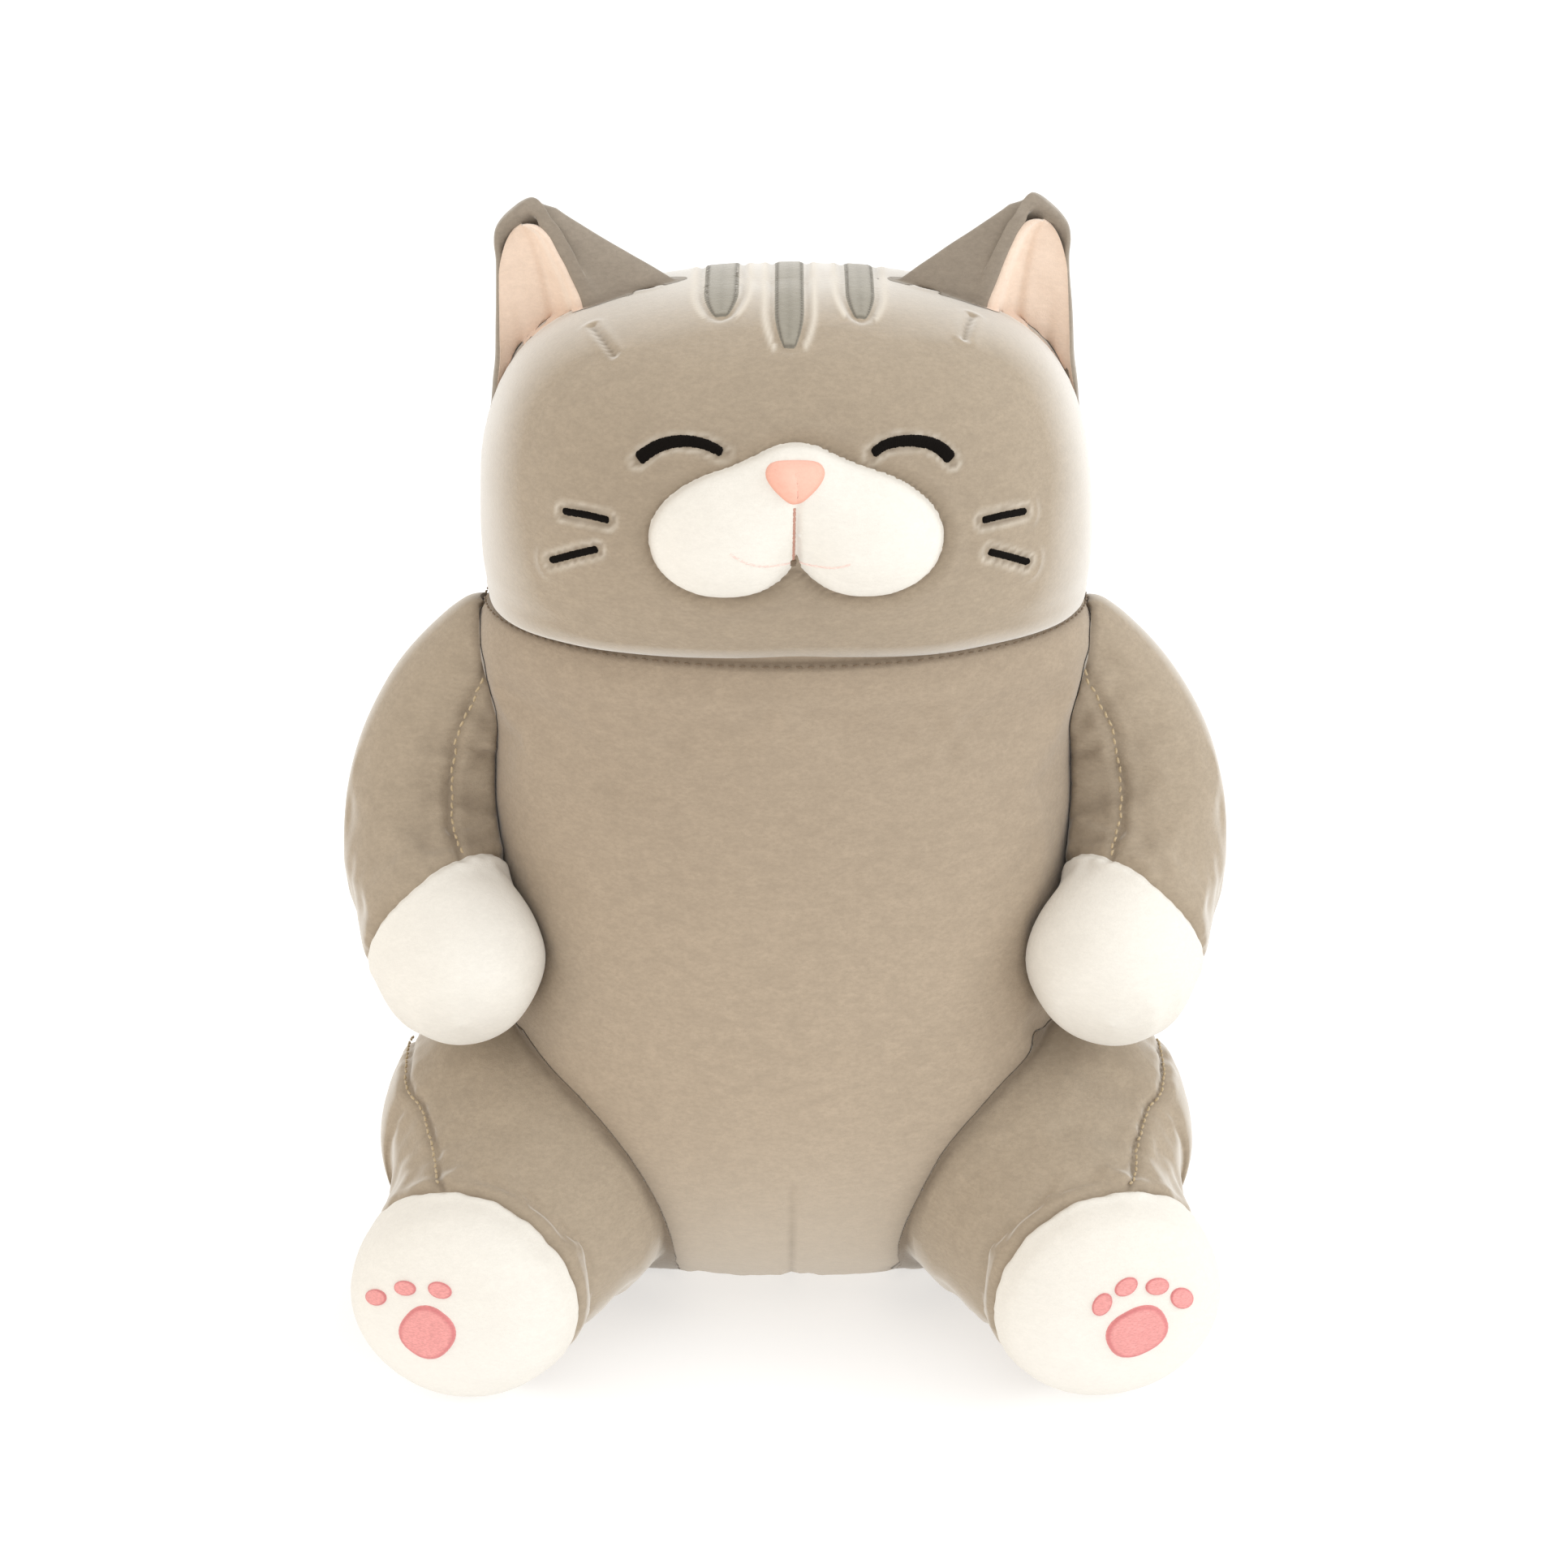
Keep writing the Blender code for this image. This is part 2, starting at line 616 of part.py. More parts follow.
def build_ear(word, side, head, parent):
    """One ear: a grey back that folds round the inner edge, and a peach lining set into its front."""
    cutter = head(EAR_CLEARANCE)
    cutter = add_object(f"ear_seat_{word}", cutter, None, helper=True)
    chord = EAR_CHORD.copy()
    up = EAR_UP.copy()
    tip = EAR_OUTER_BASE + (EAR_CHORD * EAR_TIP_ALONG + EAR_UP * EAR_PROFILE[-1][0]) * MM
    rim = (EAR_OUTER_BASE + Vector((0, -1.5 * MM, 0)), Vector((0, 1, 0)))
    fold_base = EAR_OUTER_BASE + EAR_CHORD * (0.60 * EAR_BASE_WIDTH * MM)
    fold_normal = (tip - fold_base).cross(Vector((0, 1, 0))).normalized()
    if fold_normal.dot(chord) < 0:
        fold_normal = -fold_normal
    fold = (fold_base, fold_normal)
    for name, material, kept in (
        ("ear_lining", "peach_plush", lambda back, inner: back < 0 and inner < 0),
        ("ear_back_panel", "grey_plush", lambda back, inner: back > 0 or inner > 0),
    ):
        mesh = closed_body(ear_point, 12, 9)
        keep_region(mesh, (rim, fold), kept)
        trimmed = (EAR_OUTER_BASE - up * (24 * MM), up)
        keep_region(mesh, (trimmed,), lambda above: above > 0)
        cut(add_object(f"{name}_{word}", mirrored(thickened(mesh), side), material, parent), cutter)


def build_limb(kind, word, side, path, ends_of_panels, tip_name, split, torso_cutter, parent, grid):
    """A limb: two long panels, the white end and one filling."""
    point = swept_point(path)
    opening, cuff = ends_of_panels
    columns, rows = grid
    half = SEAM / (50 * MM)
    ends = 0.6 * half
    for name, start in split:
        mesh = open_tube(point, opening, cuff - ends, start + half, start + math.pi - half, columns, rows)
        item = add_object(f"{kind}_{name}_{word}", mirrored(thickened(mesh), side), "grey_plush", parent)
        cut(item, torso_cutter)
    tip = open_tube(point, cuff + ends, 1.0, 0.0, 2 * math.pi, 2 * columns, 5)
    item = add_object(f"{tip_name}_{word}", mirrored(thickened(tip), side), "white_plush", parent)
    if kind == "arm":
        cut(item, torso_cutter)
    filling = closed_body(point, 2 * columns, 11)
    offset(filling, -INSET)
    item = add_object(f"{kind}_filling_{word}", mirrored(filling, side), "fibre_filling", parent)
    cut(item, torso_cutter)


def build_soles(word, side, parent, toes):
    """The paw print stitched on one sole, as a mirrored copy of the left foot's plan."""
    point = swept_point(LEG_PATH)
    tree = surface_tree(mirrored(closed_body(point, 48, 60), side))
    x, y, z = LEG_PATH[-1][:3]
    inside = Vector((side * (x - 8), y + 40, z)) * MM

    def placed(centre_x, centre_z):
        def place(across, up, _):
            return on_front(tree, side * (x + centre_x + across), z + centre_z + up, PATCH_LIFT)

        return place

    offset_x, offset_z, half_x, half_z, turn = PAD_MAIN
    outline = oval(half_x, half_z, turn, 16, 2.4)
    stitched_patch(f"paw_pad_{word}", placed(offset_x, offset_z), outline, "pink_thread", parent, inside, TRIM, 2)
    for number, (offset_x, offset_z, half_x, half_z, turn) in enumerate(toes, 1):
        name = f"toe_pad_{number}_{word}"
        outline = oval(half_x, half_z, turn, 10)
        stitched_patch(name, placed(offset_x, offset_z), outline, "pink_thread", parent, inside, TRIM, 1)


def build_tail(torso_cutter, parent):
    point = swept_point(TAIL_PATH)
    for word, start in (("left", -0.5 * math.pi), ("right", 0.5 * math.pi)):
        mesh = closed_body(point, 12, 8)
        middle = (Vector((0, 0, 0)), Vector((1, 0, 0)))
        root = (Vector((0, 86 * MM, 0)), Vector((0, 1, 0)))
        side = 1 if word == "left" else -1
        keep_region(mesh, (middle, root), lambda right, back, side=side: side * right > 0 and back > 0)
        cut(add_object(f"tail_panel_{word}", thickened(mesh), "grey_plush", parent), torso_cutter)
    filling = closed_body(point, 12, 8)
    offset(filling, -INSET)
    cut(add_object("tail_filling", filling, "fibre_filling", parent), torso_cutter)


clear_scene()
pieces = bpy.data.collections.new("plush_cat")
helpers = bpy.data.collections.new("cutters_and_pivots")
bpy.context.scene.collection.children.link(pieces)
bpy.context.scene.collection.children.link(helpers)

build_torso()
limb_cut = closed_body(torso_point, 26, 19)
offset(limb_cut, LIMB_CLEARANCE)
torso_cutter = add_object("torso_clearance", limb_cut, None, helper=True)

head_pivot = pivot("head_pivot", NECK_CENTRE)
head = build_head(head_pivot)
head_surface = head()
build_face(head_surface, head_pivot)
build_stripes(head_surface, head_pivot)
head_surface.free()

for word, side in (("right", -1), ("left", 1)):
    ear_pivot = pivot(f"ear_pivot_{word}", EAR_PIVOT, side)
    build_ear(word, side, head, ear_pivot)
    arm_pivot = pivot(f"arm_pivot_{word}", ARM_PIVOT, side)
    arm_split = (("outer_panel", -0.5 * math.pi), ("inner_panel", 0.5 * math.pi))
    build_limb("arm", word, side, ARM_PATH, (ARM_OPENING, ARM_CUFF), "mitt", arm_split, torso_cutter, arm_pivot, (7, 7))
    leg_pivot = pivot(f"leg_pivot_{word}", LEG_PIVOT, side)
    leg_split = (("upper_panel", 0.0), ("lower_panel", math.pi))
    build_limb("leg", word, side, LEG_PATH, (LEG_OPENING, LEG_ANKLE), "foot", leg_split, torso_cutter, leg_pivot, (8, 6))
    build_soles(word, side, leg_pivot, TOES_LEFT if side > 0 else TOES_LEFT[1:])

build_tail(torso_cutter, pivot("tail_pivot", TAIL_PIVOT))
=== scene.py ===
import math

import bmesh
import bpy
import numpy as np
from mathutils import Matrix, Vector, noise
from mathutils.bvhtree import BVHTree


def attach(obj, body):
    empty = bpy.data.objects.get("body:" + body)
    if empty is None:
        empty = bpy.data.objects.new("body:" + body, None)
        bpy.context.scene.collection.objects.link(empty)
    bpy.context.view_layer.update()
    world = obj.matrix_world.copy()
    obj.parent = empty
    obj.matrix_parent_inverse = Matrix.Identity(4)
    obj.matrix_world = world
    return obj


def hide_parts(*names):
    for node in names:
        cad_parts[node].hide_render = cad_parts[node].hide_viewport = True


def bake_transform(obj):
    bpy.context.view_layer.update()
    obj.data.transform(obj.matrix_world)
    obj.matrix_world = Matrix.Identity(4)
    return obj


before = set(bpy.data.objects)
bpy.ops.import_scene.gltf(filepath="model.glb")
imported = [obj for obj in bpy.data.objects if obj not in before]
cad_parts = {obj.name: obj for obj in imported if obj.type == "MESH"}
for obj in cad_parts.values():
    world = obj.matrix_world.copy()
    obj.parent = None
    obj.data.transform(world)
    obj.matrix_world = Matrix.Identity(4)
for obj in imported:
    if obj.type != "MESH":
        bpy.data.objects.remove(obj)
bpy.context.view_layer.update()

MM = 0.001
SIDES = (("right", -1), ("left", 1))

# ---------------------------------------------------------------- the sewing pattern, in mm
# Rows of a stacked body: height, half-width, depth to the front, depth to the back
HEAD_PROFILE = (
    (244.0, 60.0, 40.0, 40.0), (245.5, 99.0, 73.0, 73.0), (254.0, 103.5, 83.5, 83.5),
    (268.0, 105.0, 90.0, 90.0), (283.0, 104.8, 92.5, 92.5), (298.0, 103.6, 91.5, 92.0),
    (312.0, 100.5, 87.5, 89.0), (324.5, 95.5, 80.5, 83.0), (335.0, 88.0, 71.0, 75.0),
    (343.5, 77.0, 59.5, 64.0), (349.5, 63.0, 46.0, 50.0), (354.0, 45.0, 31.5, 34.0),
    (356.6, 24.0, 16.5, 18.0), (357.4, 0.5, 0.5, 0.5),
)
HEAD_POWER = 2.25
HEAD_YAW = math.radians(2.3)
NECK_CENTRE = (0.0, 0.0, 236.0)
NECK_RADII = (106.0, 82.0, 82.0)
TORSO_PROFILE = (
    (0.0, 0.5, 0.5, 0.5), (0.0, 34.0, 10.0, 36.0), (0.0, 66.0, 19.0, 66.0), (4.0, 79.0, 33.0, 78.0),
    (15.0, 91.5, 54.0, 90.0), (34.0, 100.0, 76.0, 98.5), (58.0, 103.5, 89.5, 101.5),
    (86.0, 104.0, 94.0, 101.0), (116.0, 103.0, 92.0, 97.0), (146.0, 102.2, 88.0, 92.0),
    (176.0, 101.8, 84.5, 87.0), (204.0, 101.5, 81.5, 82.5),
)
TORSO_POWER = 2.2
DOME_ANGLES = (-12.0, 0.0, 10.5, 22.0, 36.0, 52.0, 70.0, 89.6)
# Sections of a limb, for the side at +X: centre x, y, z, half-width, half-height
ARM_PATH = (
    (85.0, 5.0, 235.0, 0.5, 0.5), (92.0, 4.0, 229.0, 21.0, 22.5), (107.5, 3.0, 214.5, 24.5, 26.5),
    (120.5, 0.0, 195.0, 25.0, 27.0), (127.0, -8.0, 175.0, 25.0, 26.5), (127.0, -25.0, 158.0, 25.2, 26.5),
    (121.0, -44.0, 146.0, 26.3, 27.5), (113.5, -61.0, 137.0, 27.5, 28.0), (109.0, -75.0, 130.0, 25.0, 25.0),
    (107.5, -84.0, 125.0, 17.0, 17.0), (107.0, -88.0, 122.5, 0.5, 0.5),
)
LEG_PATH = (
    (82.0, 24.0, 51.0, 0.5, 0.5), (84.0, 16.0, 52.0, 36.0, 33.0), (86.0, -10.0, 53.5, 53.0, 47.0),
    (88.0, -33.0, 53.0, 54.5, 48.5), (88.5, -56.0, 48.5, 53.0, 45.5), (95.0, -77.0, 42.5, 46.0, 41.0),
    (103.0, -96.0, 38.0, 40.0, 36.7), (107.0, -113.0, 35.9, 40.3, 35.2), (110.0, -128.0, 35.7, 36.0, 32.0),
    (111.8, -137.5, 35.7, 23.0, 21.5), (112.5, -141.0, 35.7, 0.5, 0.5),
)
TAIL_PATH = (
    (0.0, 80.0, 29.0, 0.5, 0.5), (0.0, 88.0, 28.5, 18.0, 18.0), (0.0, 102.0, 27.0, 21.0, 21.0),
    (0.0, 117.0, 26.0, 21.5, 21.5), (0.0, 131.0, 26.5, 19.0, 19.0), (0.0, 140.5, 27.5, 12.0, 12.0),
    (0.0, 143.9, 28.0, 0.5, 0.5),
)
# The seam along the front of a limb: share of its length, angle round it in degrees
ARM_SEAM = (
    (0.09, 68), (0.13, 76), (0.18, 89), (0.26, 97), (0.33, 105), (0.45, 112), (0.53, 113), (0.60, 112),
)
LEG_SEAM = ((0.19, 35), (0.25, 37), (0.35, 40), (0.46, 48), (0.56, 60), (0.66, 76))
# share at the cuff, how much further it reaches outside, and how much that is cut back
ARM_CUFF = (0.62, 0.068, 0.65)
LEG_CUFF = (0.665, -0.055, 0.0)

# Ears, in the plane of the ear: along the base chord, up to the tip, and forward
EAR_OUTER_BASE = np.array((99.0, 8.0, 314.0))
EAR_CHORD = np.array((-0.813, 0.0, 0.583))
EAR_UP = np.array((0.583, 0.0, 0.813))
EAR_WIDTH = 73.0
EAR_FOLD = 0.60  # share of the base width from the outer edge to the fold
EAR_TIP_ALONG = {-1: 47.0, 1: 51.0}  # the two tips lean in by different amounts
EAR_ROWS = (  # height, share of the width left, depth to the front, depth to the back
    (-26.0, 1.00, 5.0, 5.0), (-14.0, 1.02, 9.5, 8.0), (0.0, 1.00, 10.0, 8.0), (14.0, 0.78, 9.0, 7.5),
    (27.0, 0.57, 8.0, 7.2), (38.0, 0.39, 7.0, 6.6), (44.0, 0.315, 6.2, 6.0), (47.6, 0.245, 5.2, 5.0),
    (49.4, 0.15, 3.4, 3.4), (50.0, 0.04, 1.2, 1.2),
)

# Face: x and z on the front of the head
FACE_X = 3.4
MUZZLE_Z = 297.0
MUZZLE_PUFF = 9.5
MUZZLE_HALF = (
    (0.0, 27.0), (7.0, 26.0), (
        14.0, 23.0,
    ), (22.0, 19.8), (31.0, 16.6), (39.0, 12.0), (45.5, 5.5), (48.8, -3.0),
    (47.0, -12.5), (41.0, -19.5), (31.5, -23.5), (21.0, -24.0), (12.0, -22.0), (5.5, -18.0), (0.0, -13.5),
)
NOSE_CENTRE = (3.0, 314.2)
NOSE_OUTLINE = (
    (9.5, 1.5), (7.5, 5.0), (0.0, 5.8), (-7.5, 5.0), (-9.5, 1.5), (-5.5, -3.2), (0.0, -6.5), (5.5, -3.2),
)
STRIPES = (("right", -21.5, 353.2, 7.1), ("middle", 1.2, 347.0, 6.0), ("left", 24.8, 352.6, 6.0))
EYES = {  # from the outer end to the inner one
    "right": (
        (-48.0, 317.2), (-45.4, 319.3), (-41.2, 321.8), (-35.9, 323.3), (-30.6, 323.6), (-25.3, 322.7),
        (-20.6, 320.8),
    ),
    "left": (
        (54.0, 316.2), (51.4, 319.0), (48.0, 321.2), (43.2, 322.6), (37.4, 323.0), (32.1, 322.2),
        (28.1, 320.0),
    ),
}
WHISKERS = {
    "upper_right": ((-73.0, 297.2), (-65.2, 297.6), (-57.7, 297.2)),
    "lower_right": ((-77.6, 279.3), (-69.5, 283.5), (-61.6, 287.0)),
    "upper_left": ((64.3, 295.8), (71.6, 296.0), (79.0, 295.4)),
    "lower_left": ((66.5, 284.9), (73.4, 281.5), (80.3, 277.5)),
}
DARTS = (
    ((-64.5, 347.6), (-60.1, 345.8), (-56.5, 343.4)),
    ((62.3, 349.4), (60.3, 348.2), (59.2, 346.4)),
)
MOUTH_LINE = ((2.8, 306.5), (2.7, 300.0), (2.6, 294.0), (2.5, 287.2))
SMILE_RIGHT = ((-18.0, 292.6), (-12.0, 289.2), (-5.0, 287.2), (1.5, 287.0))
SMILE_LEFT = ((3.5, 287.0), (9.5, 286.6), (15.5, 287.0), (21.0, 288.6))
# Paw prints, from the sole's centre outwards and up: place, half-sizes and turn. The first is the main pad.
PADS = {
    "left": (
        (4.5, -2.5, 10.8, 9.2, 24.0), (-7.5, 8.5, 4.3, 3.2, 60.0), (0.5, 14.0, 4.2, 3.0, 25.0),
        (11.0, 13.0, 4.2, 3.0, -8.0), (19.5, 7.5, 4.6, 3.4, -42.0),
    ),
    "right": (
        (7.0, -3.2, 10.2, 9.2, -55.0), (2.4, 12.6, 4.2, 2.9, 8.0), (14.2, 11.8, 3.9, 2.6, -8.0),
        (24.3, 6.3, 4.1, 2.7, -28.0),
    ),
}


# ---------------------------------------------------------------- curves and grids
def rows_at(rows, share):
    """Values at shares of the way along evenly spaced rows, on a smooth curve through every row."""
    rows = np.asarray(rows, float)
    share = np.asarray(share, float)
    last = len(rows) - 1
    place = np.clip(share, 0, 1) * last
    index = np.minimum(place.astype(int), last - 1)
    f = (place - index)[..., None]
    a, b, c, d = (rows[np.clip(index + step, 0, last)] for step in (-1, 0, 1, 2))
    bend = 2 * a - 5 * b + 4 * c - d
    return 0.5 * (2 * b + (c - a) * f + bend * f ** 2 + (3 * b - a - 3 * c + d) * f ** 3)


def loop_at(rows, share):
    """The same round a closed curve."""
    rows = np.asarray(rows, float)
    count = len(rows)
    place = (np.asarray(share, float) % 1.0) * count
    index = place.astype(int)
    f = (place - index)[..., None]
    a, b, c, d = (rows[(index + step) % count] for step in (-1, 0, 1, 2))
    bend = 2 * a - 5 * b + 4 * c - d
    return 0.5 * (2 * b + (c - a) * f + bend * f ** 2 + (3 * b - a - 3 * c + d) * f ** 3)


def powered(value, power):
    return np.sign(value) * np.abs(value) ** (2 / power)


def unit(vectors):
    return vectors / np.maximum(np.linalg.norm(vectors, axis=-1, keepdims=True), 1e-12)


def turned(points, angle):
    c, s = math.cos(angle), math.sin(angle)
    x, y = points[..., 0], points[..., 1]
    return np.stack([c * x - s * y, s * x + c * y, points[..., 2]], -1)


def stacked(rows, share, angle, power):
    height, half, front, back = np.moveaxis(rows_at(rows, share), -1, 0)
    depth = np.where(np.sin(angle) > 0, back, front)
    x = half * powered(np.cos(angle), power)
    y = depth * powered(np.sin(angle), power)
    return np.stack([x, y, np.maximum(height, 0.0)], -1) * MM


def head_point(share, angle):
    return turned(stacked(HEAD_PROFILE, share, angle, HEAD_POWER), HEAD_YAW)


def torso_rows():
    rows = list(TORSO_PROFILE)
    for tilt in DOME_ANGLES:
        up, out = math.sin(math.radians(tilt)), math.cos(math.radians(tilt))
        rows.append(
            (
                NECK_CENTRE[2] + NECK_RADII[2] * up, NECK_RADII[0] * out, NECK_RADII[1] * out,
                NECK_RADII[1] * out,
            )
        )
    return rows


def torso_point(share, angle):
    rows = torso_rows()
    mix = np.clip((np.asarray(share) * (len(rows) - 1) - 8) / 4, 0.0, 1.0)
    return stacked(rows, share, angle, TORSO_POWER + (2.0 - TORSO_POWER) * mix)


def swept(path, share, angle):
    share, angle = np.broadcast_arrays(np.asarray(share, float), np.asarray(angle, float))
    row = rows_at(path, share)
    along = unit(rows_at(path, share + 0.01)[..., :3] - rows_at(path, share - 0.01)[..., :3])
    reference = np.array([1.0, 0.0, 0.0])
    across = unit(reference - along * (along @ reference)[..., None])
    up = np.cross(along, across)
    wide = row[..., 3] * np.cos(angle)
    tall = row[..., 4] * np.sin(angle)
    return (row[..., :3] + across * wide[..., None] + up * tall[..., None]) * MM


def even_shares(point, first, last, count):
    """Shares that space rings evenly along a surface."""
    fine = np.linspace(first, last, 400)
    line = point(fine, np.full_like(fine, -math.pi / 2))
    other = point(fine, np.full_like(fine, 0.0))
    step = (
        0.5
        * (np.linalg.norm(np.diff(line, axis=0), axis=1) + np.linalg.norm(np.diff(other, axis=0), axis=1))
    )
    run = np.concatenate([[0.0], np.cumsum(step)])
    return np.interp(np.linspace(0, run[-1], count), run, fine)


def outward(grid):
    """Normals of a grid of closed rings, pointing away from the middle of each ring."""
    down = np.gradient(grid, axis=0)
    around = (np.roll(grid, -1, axis=1) - np.roll(grid, 1, axis=1)) / 2
    normals = unit(np.cross(around, down))
    middle = grid.mean(axis=1, keepdims=True)
    if ((grid - middle) * normals).sum() < 0:
        normals = -normals
    return normals


def refined(grid, times):
    """A grid of closed rings with that many steps for each one, on smooth curves both ways."""
    rows, columns = grid.shape[:2]
    shares = np.linspace(0, 1, (rows - 1) * times + 1)
    tall = rows_at(grid.reshape(rows, -1), shares).reshape(len(shares), columns, -1)
    turned_grid = np.moveaxis(tall, 1, 0)
    around = np.arange(columns * times) / (columns * times)
    full = loop_at(turned_grid.reshape(columns, -1), around).reshape(len(around), len(shares), -1)
    return np.moveaxis(full, 0, 1)


def grid_faces(rows, columns, closed=True, start=0):
    """Quads of a grid of points, as indexes."""
    faces = []
    across = columns if closed else columns - 1
    for i in range(rows - 1):
        for j in range(across):
            k = (j + 1) % columns
            a, b = start + i * columns, start + (i + 1) * columns
            faces.append((a + j, a + k, b + k, b + j))
    return faces


def sheet_faces(rows, columns):
    """Faces of a thick sheet: its top grid, the same grid again underneath, and the rim between them."""
    total = rows * columns
    faces = grid_faces(rows, columns, closed=False)
    faces += [tuple(v + total for v in face[::-1]) for face in faces]
    rim = list(range(columns))
    rim += [i * columns + columns - 1 for i in range(1, rows)]
    rim += [(rows - 1) * columns + j for j in range(columns - 2, -1, -1)]
    rim += [i * columns for i in range(rows - 2, 0, -1)]
    for a, b in zip(rim, rim[1:] + rim[:1]):
        faces.append((a, b, b + total, a + total))
    return faces


def polyline(points, step=0.4 * MM):
    """A line of points spaced evenly and closely, and the distance along it at each."""
    points = np.asarray(points, float)
    run = np.concatenate([[0.0], np.cumsum(np.linalg.norm(np.diff(points, axis=0), axis=1))])
    along = np.arange(0.0, run[-1], step)
    return np.stack([np.interp(along, run, points[:, k]) for k in range(3)], 1), along


def near(places, line, reach):
    """For each place, its distance to a line and the distance along it there; 1 m where out of reach."""
    points, along = polyline(line)
    flat = places.reshape(-1, 3)
    inside = np.nonzero(np.all((flat > points.min(0) - reach) & (flat < points.max(0) + reach), axis=1))[0]
    distance = np.ones(len(flat))
    run = np.zeros(len(flat))
    if len(inside):
        for part in np.array_split(inside, len(inside) * len(points) // 3_000_000 + 1):
            squares = ((flat[part, None, :] - points[None]) ** 2).sum(2)
            best = squares.argmin(1)
            distance[part] = np.sqrt(squares[np.arange(len(part)), best])
            run[part] = along[best]
    return distance.reshape(places.shape[:-1]), run.reshape(places.shape[:-1])


def lumps(places, size, seed):
    """Smooth noise of that feature size over places, from -1 to 1."""
    shift = Vector((seed * 7.31, seed * 3.17, seed * 5.71))
    flat = places.reshape(-1, 3) / size
    values = [noise.noise(Vector(p) + shift) for p in flat]
    return np.array(values).reshape(places.shape[:-1])


# ---------------------------------------------------------------- skins
class Skin:
    """A sewn skin as a grid of points, with how much painted light and painted shade its pile carries at
    each.
    """

    def __init__(self, grid):
        self.grid = grid
        self.painted_light = np.zeros(grid.shape[:2])
        self.painted_shade = np.zeros(grid.shape[:2])
        self.normals = outward(grid)

    def move(self, distance):
        self.grid = self.grid + self.normals * distance[..., None]

    def seam(
        self, line, depth=1.2, width=1.7, pucker=0.35, pitch=5.0, reach=5.0, seed=1, painted_shade=0.5, roll=0.25,
    ):
        """Sinks a sewn line into the skin, with the pile rolled up beside it, puckers across it and painted
        shade along its groove.
        """
        distance, run = near(self.grid, line, 6 * reach * MM)
        d = distance / MM
        phase = 2 * math.pi * run / (pitch * MM) + 2.2 * lumps(self.grid, 14 * MM, seed)
        valley = -depth * np.exp(-(d / width) ** 2)
        raised = roll * np.exp(-((d - 2.4 * width) / (1.2 * width)) ** 2)
        strength = 0.65 + 0.6 * lumps(self.grid, 22 * MM, seed + 3)
        folds = -pucker * (0.5 + 0.5 * np.cos(phase)) * strength * np.exp(-(d / reach) ** 2)
        self.move((valley + raised + folds) * MM)
        self.painted_shade = np.maximum(self.painted_shade, painted_shade * np.exp(-(d / (0.55 * width)) ** 2))

    def soften(self, size=45.0, depth=0.8, seed=5):
        self.move(depth * MM * lumps(self.grid, size * MM, seed))


def tree_of(grid):
    """A search tree over the surface of a grid of closed rings, its two ends included."""
    rows, columns = grid.shape[:2]
    last = (rows - 1) * columns
    faces = grid_faces(rows, columns) + [tuple(range(columns)), tuple(range(last, last + columns))]
    return BVHTree.FromPolygons([Vector(p) for p in grid.reshape(-1, 3)], faces)


def rest_against(grid, tree, inward, clearance=0.35, soft=2.5, reach=60.0):
    """Pushes the part of a grid that is inside a body out to its surface, easing in as it comes near."""
    flat = grid.reshape(-1, 3).copy()
    touch = np.zeros(len(flat))
    for index, place in enumerate(flat):
        found, normal, _, distance = tree.find_nearest(Vector(place), reach * MM)
        if found is None:
            continue
        if normal.dot(found - inward) < 0:
            normal = -normal
        height = (Vector(place) - found).dot(normal) / MM
        height = math.copysign(distance / MM, height)
        if height > clearance + 3 * soft:
            continue
        raised = clearance + soft * math.log1p(math.exp(min((height - clearance) / soft, 30.0)))
        if height > 0 and distance > 0:
            out = (Vector(place) - found).normalized()
        else:
            out = normal
        flat[index] = found + out * raised * MM
        touch[index] = math.exp(-max(height, 0.0) / 2.0)
    return flat.reshape(grid.shape), touch.reshape(grid.shape[:2])


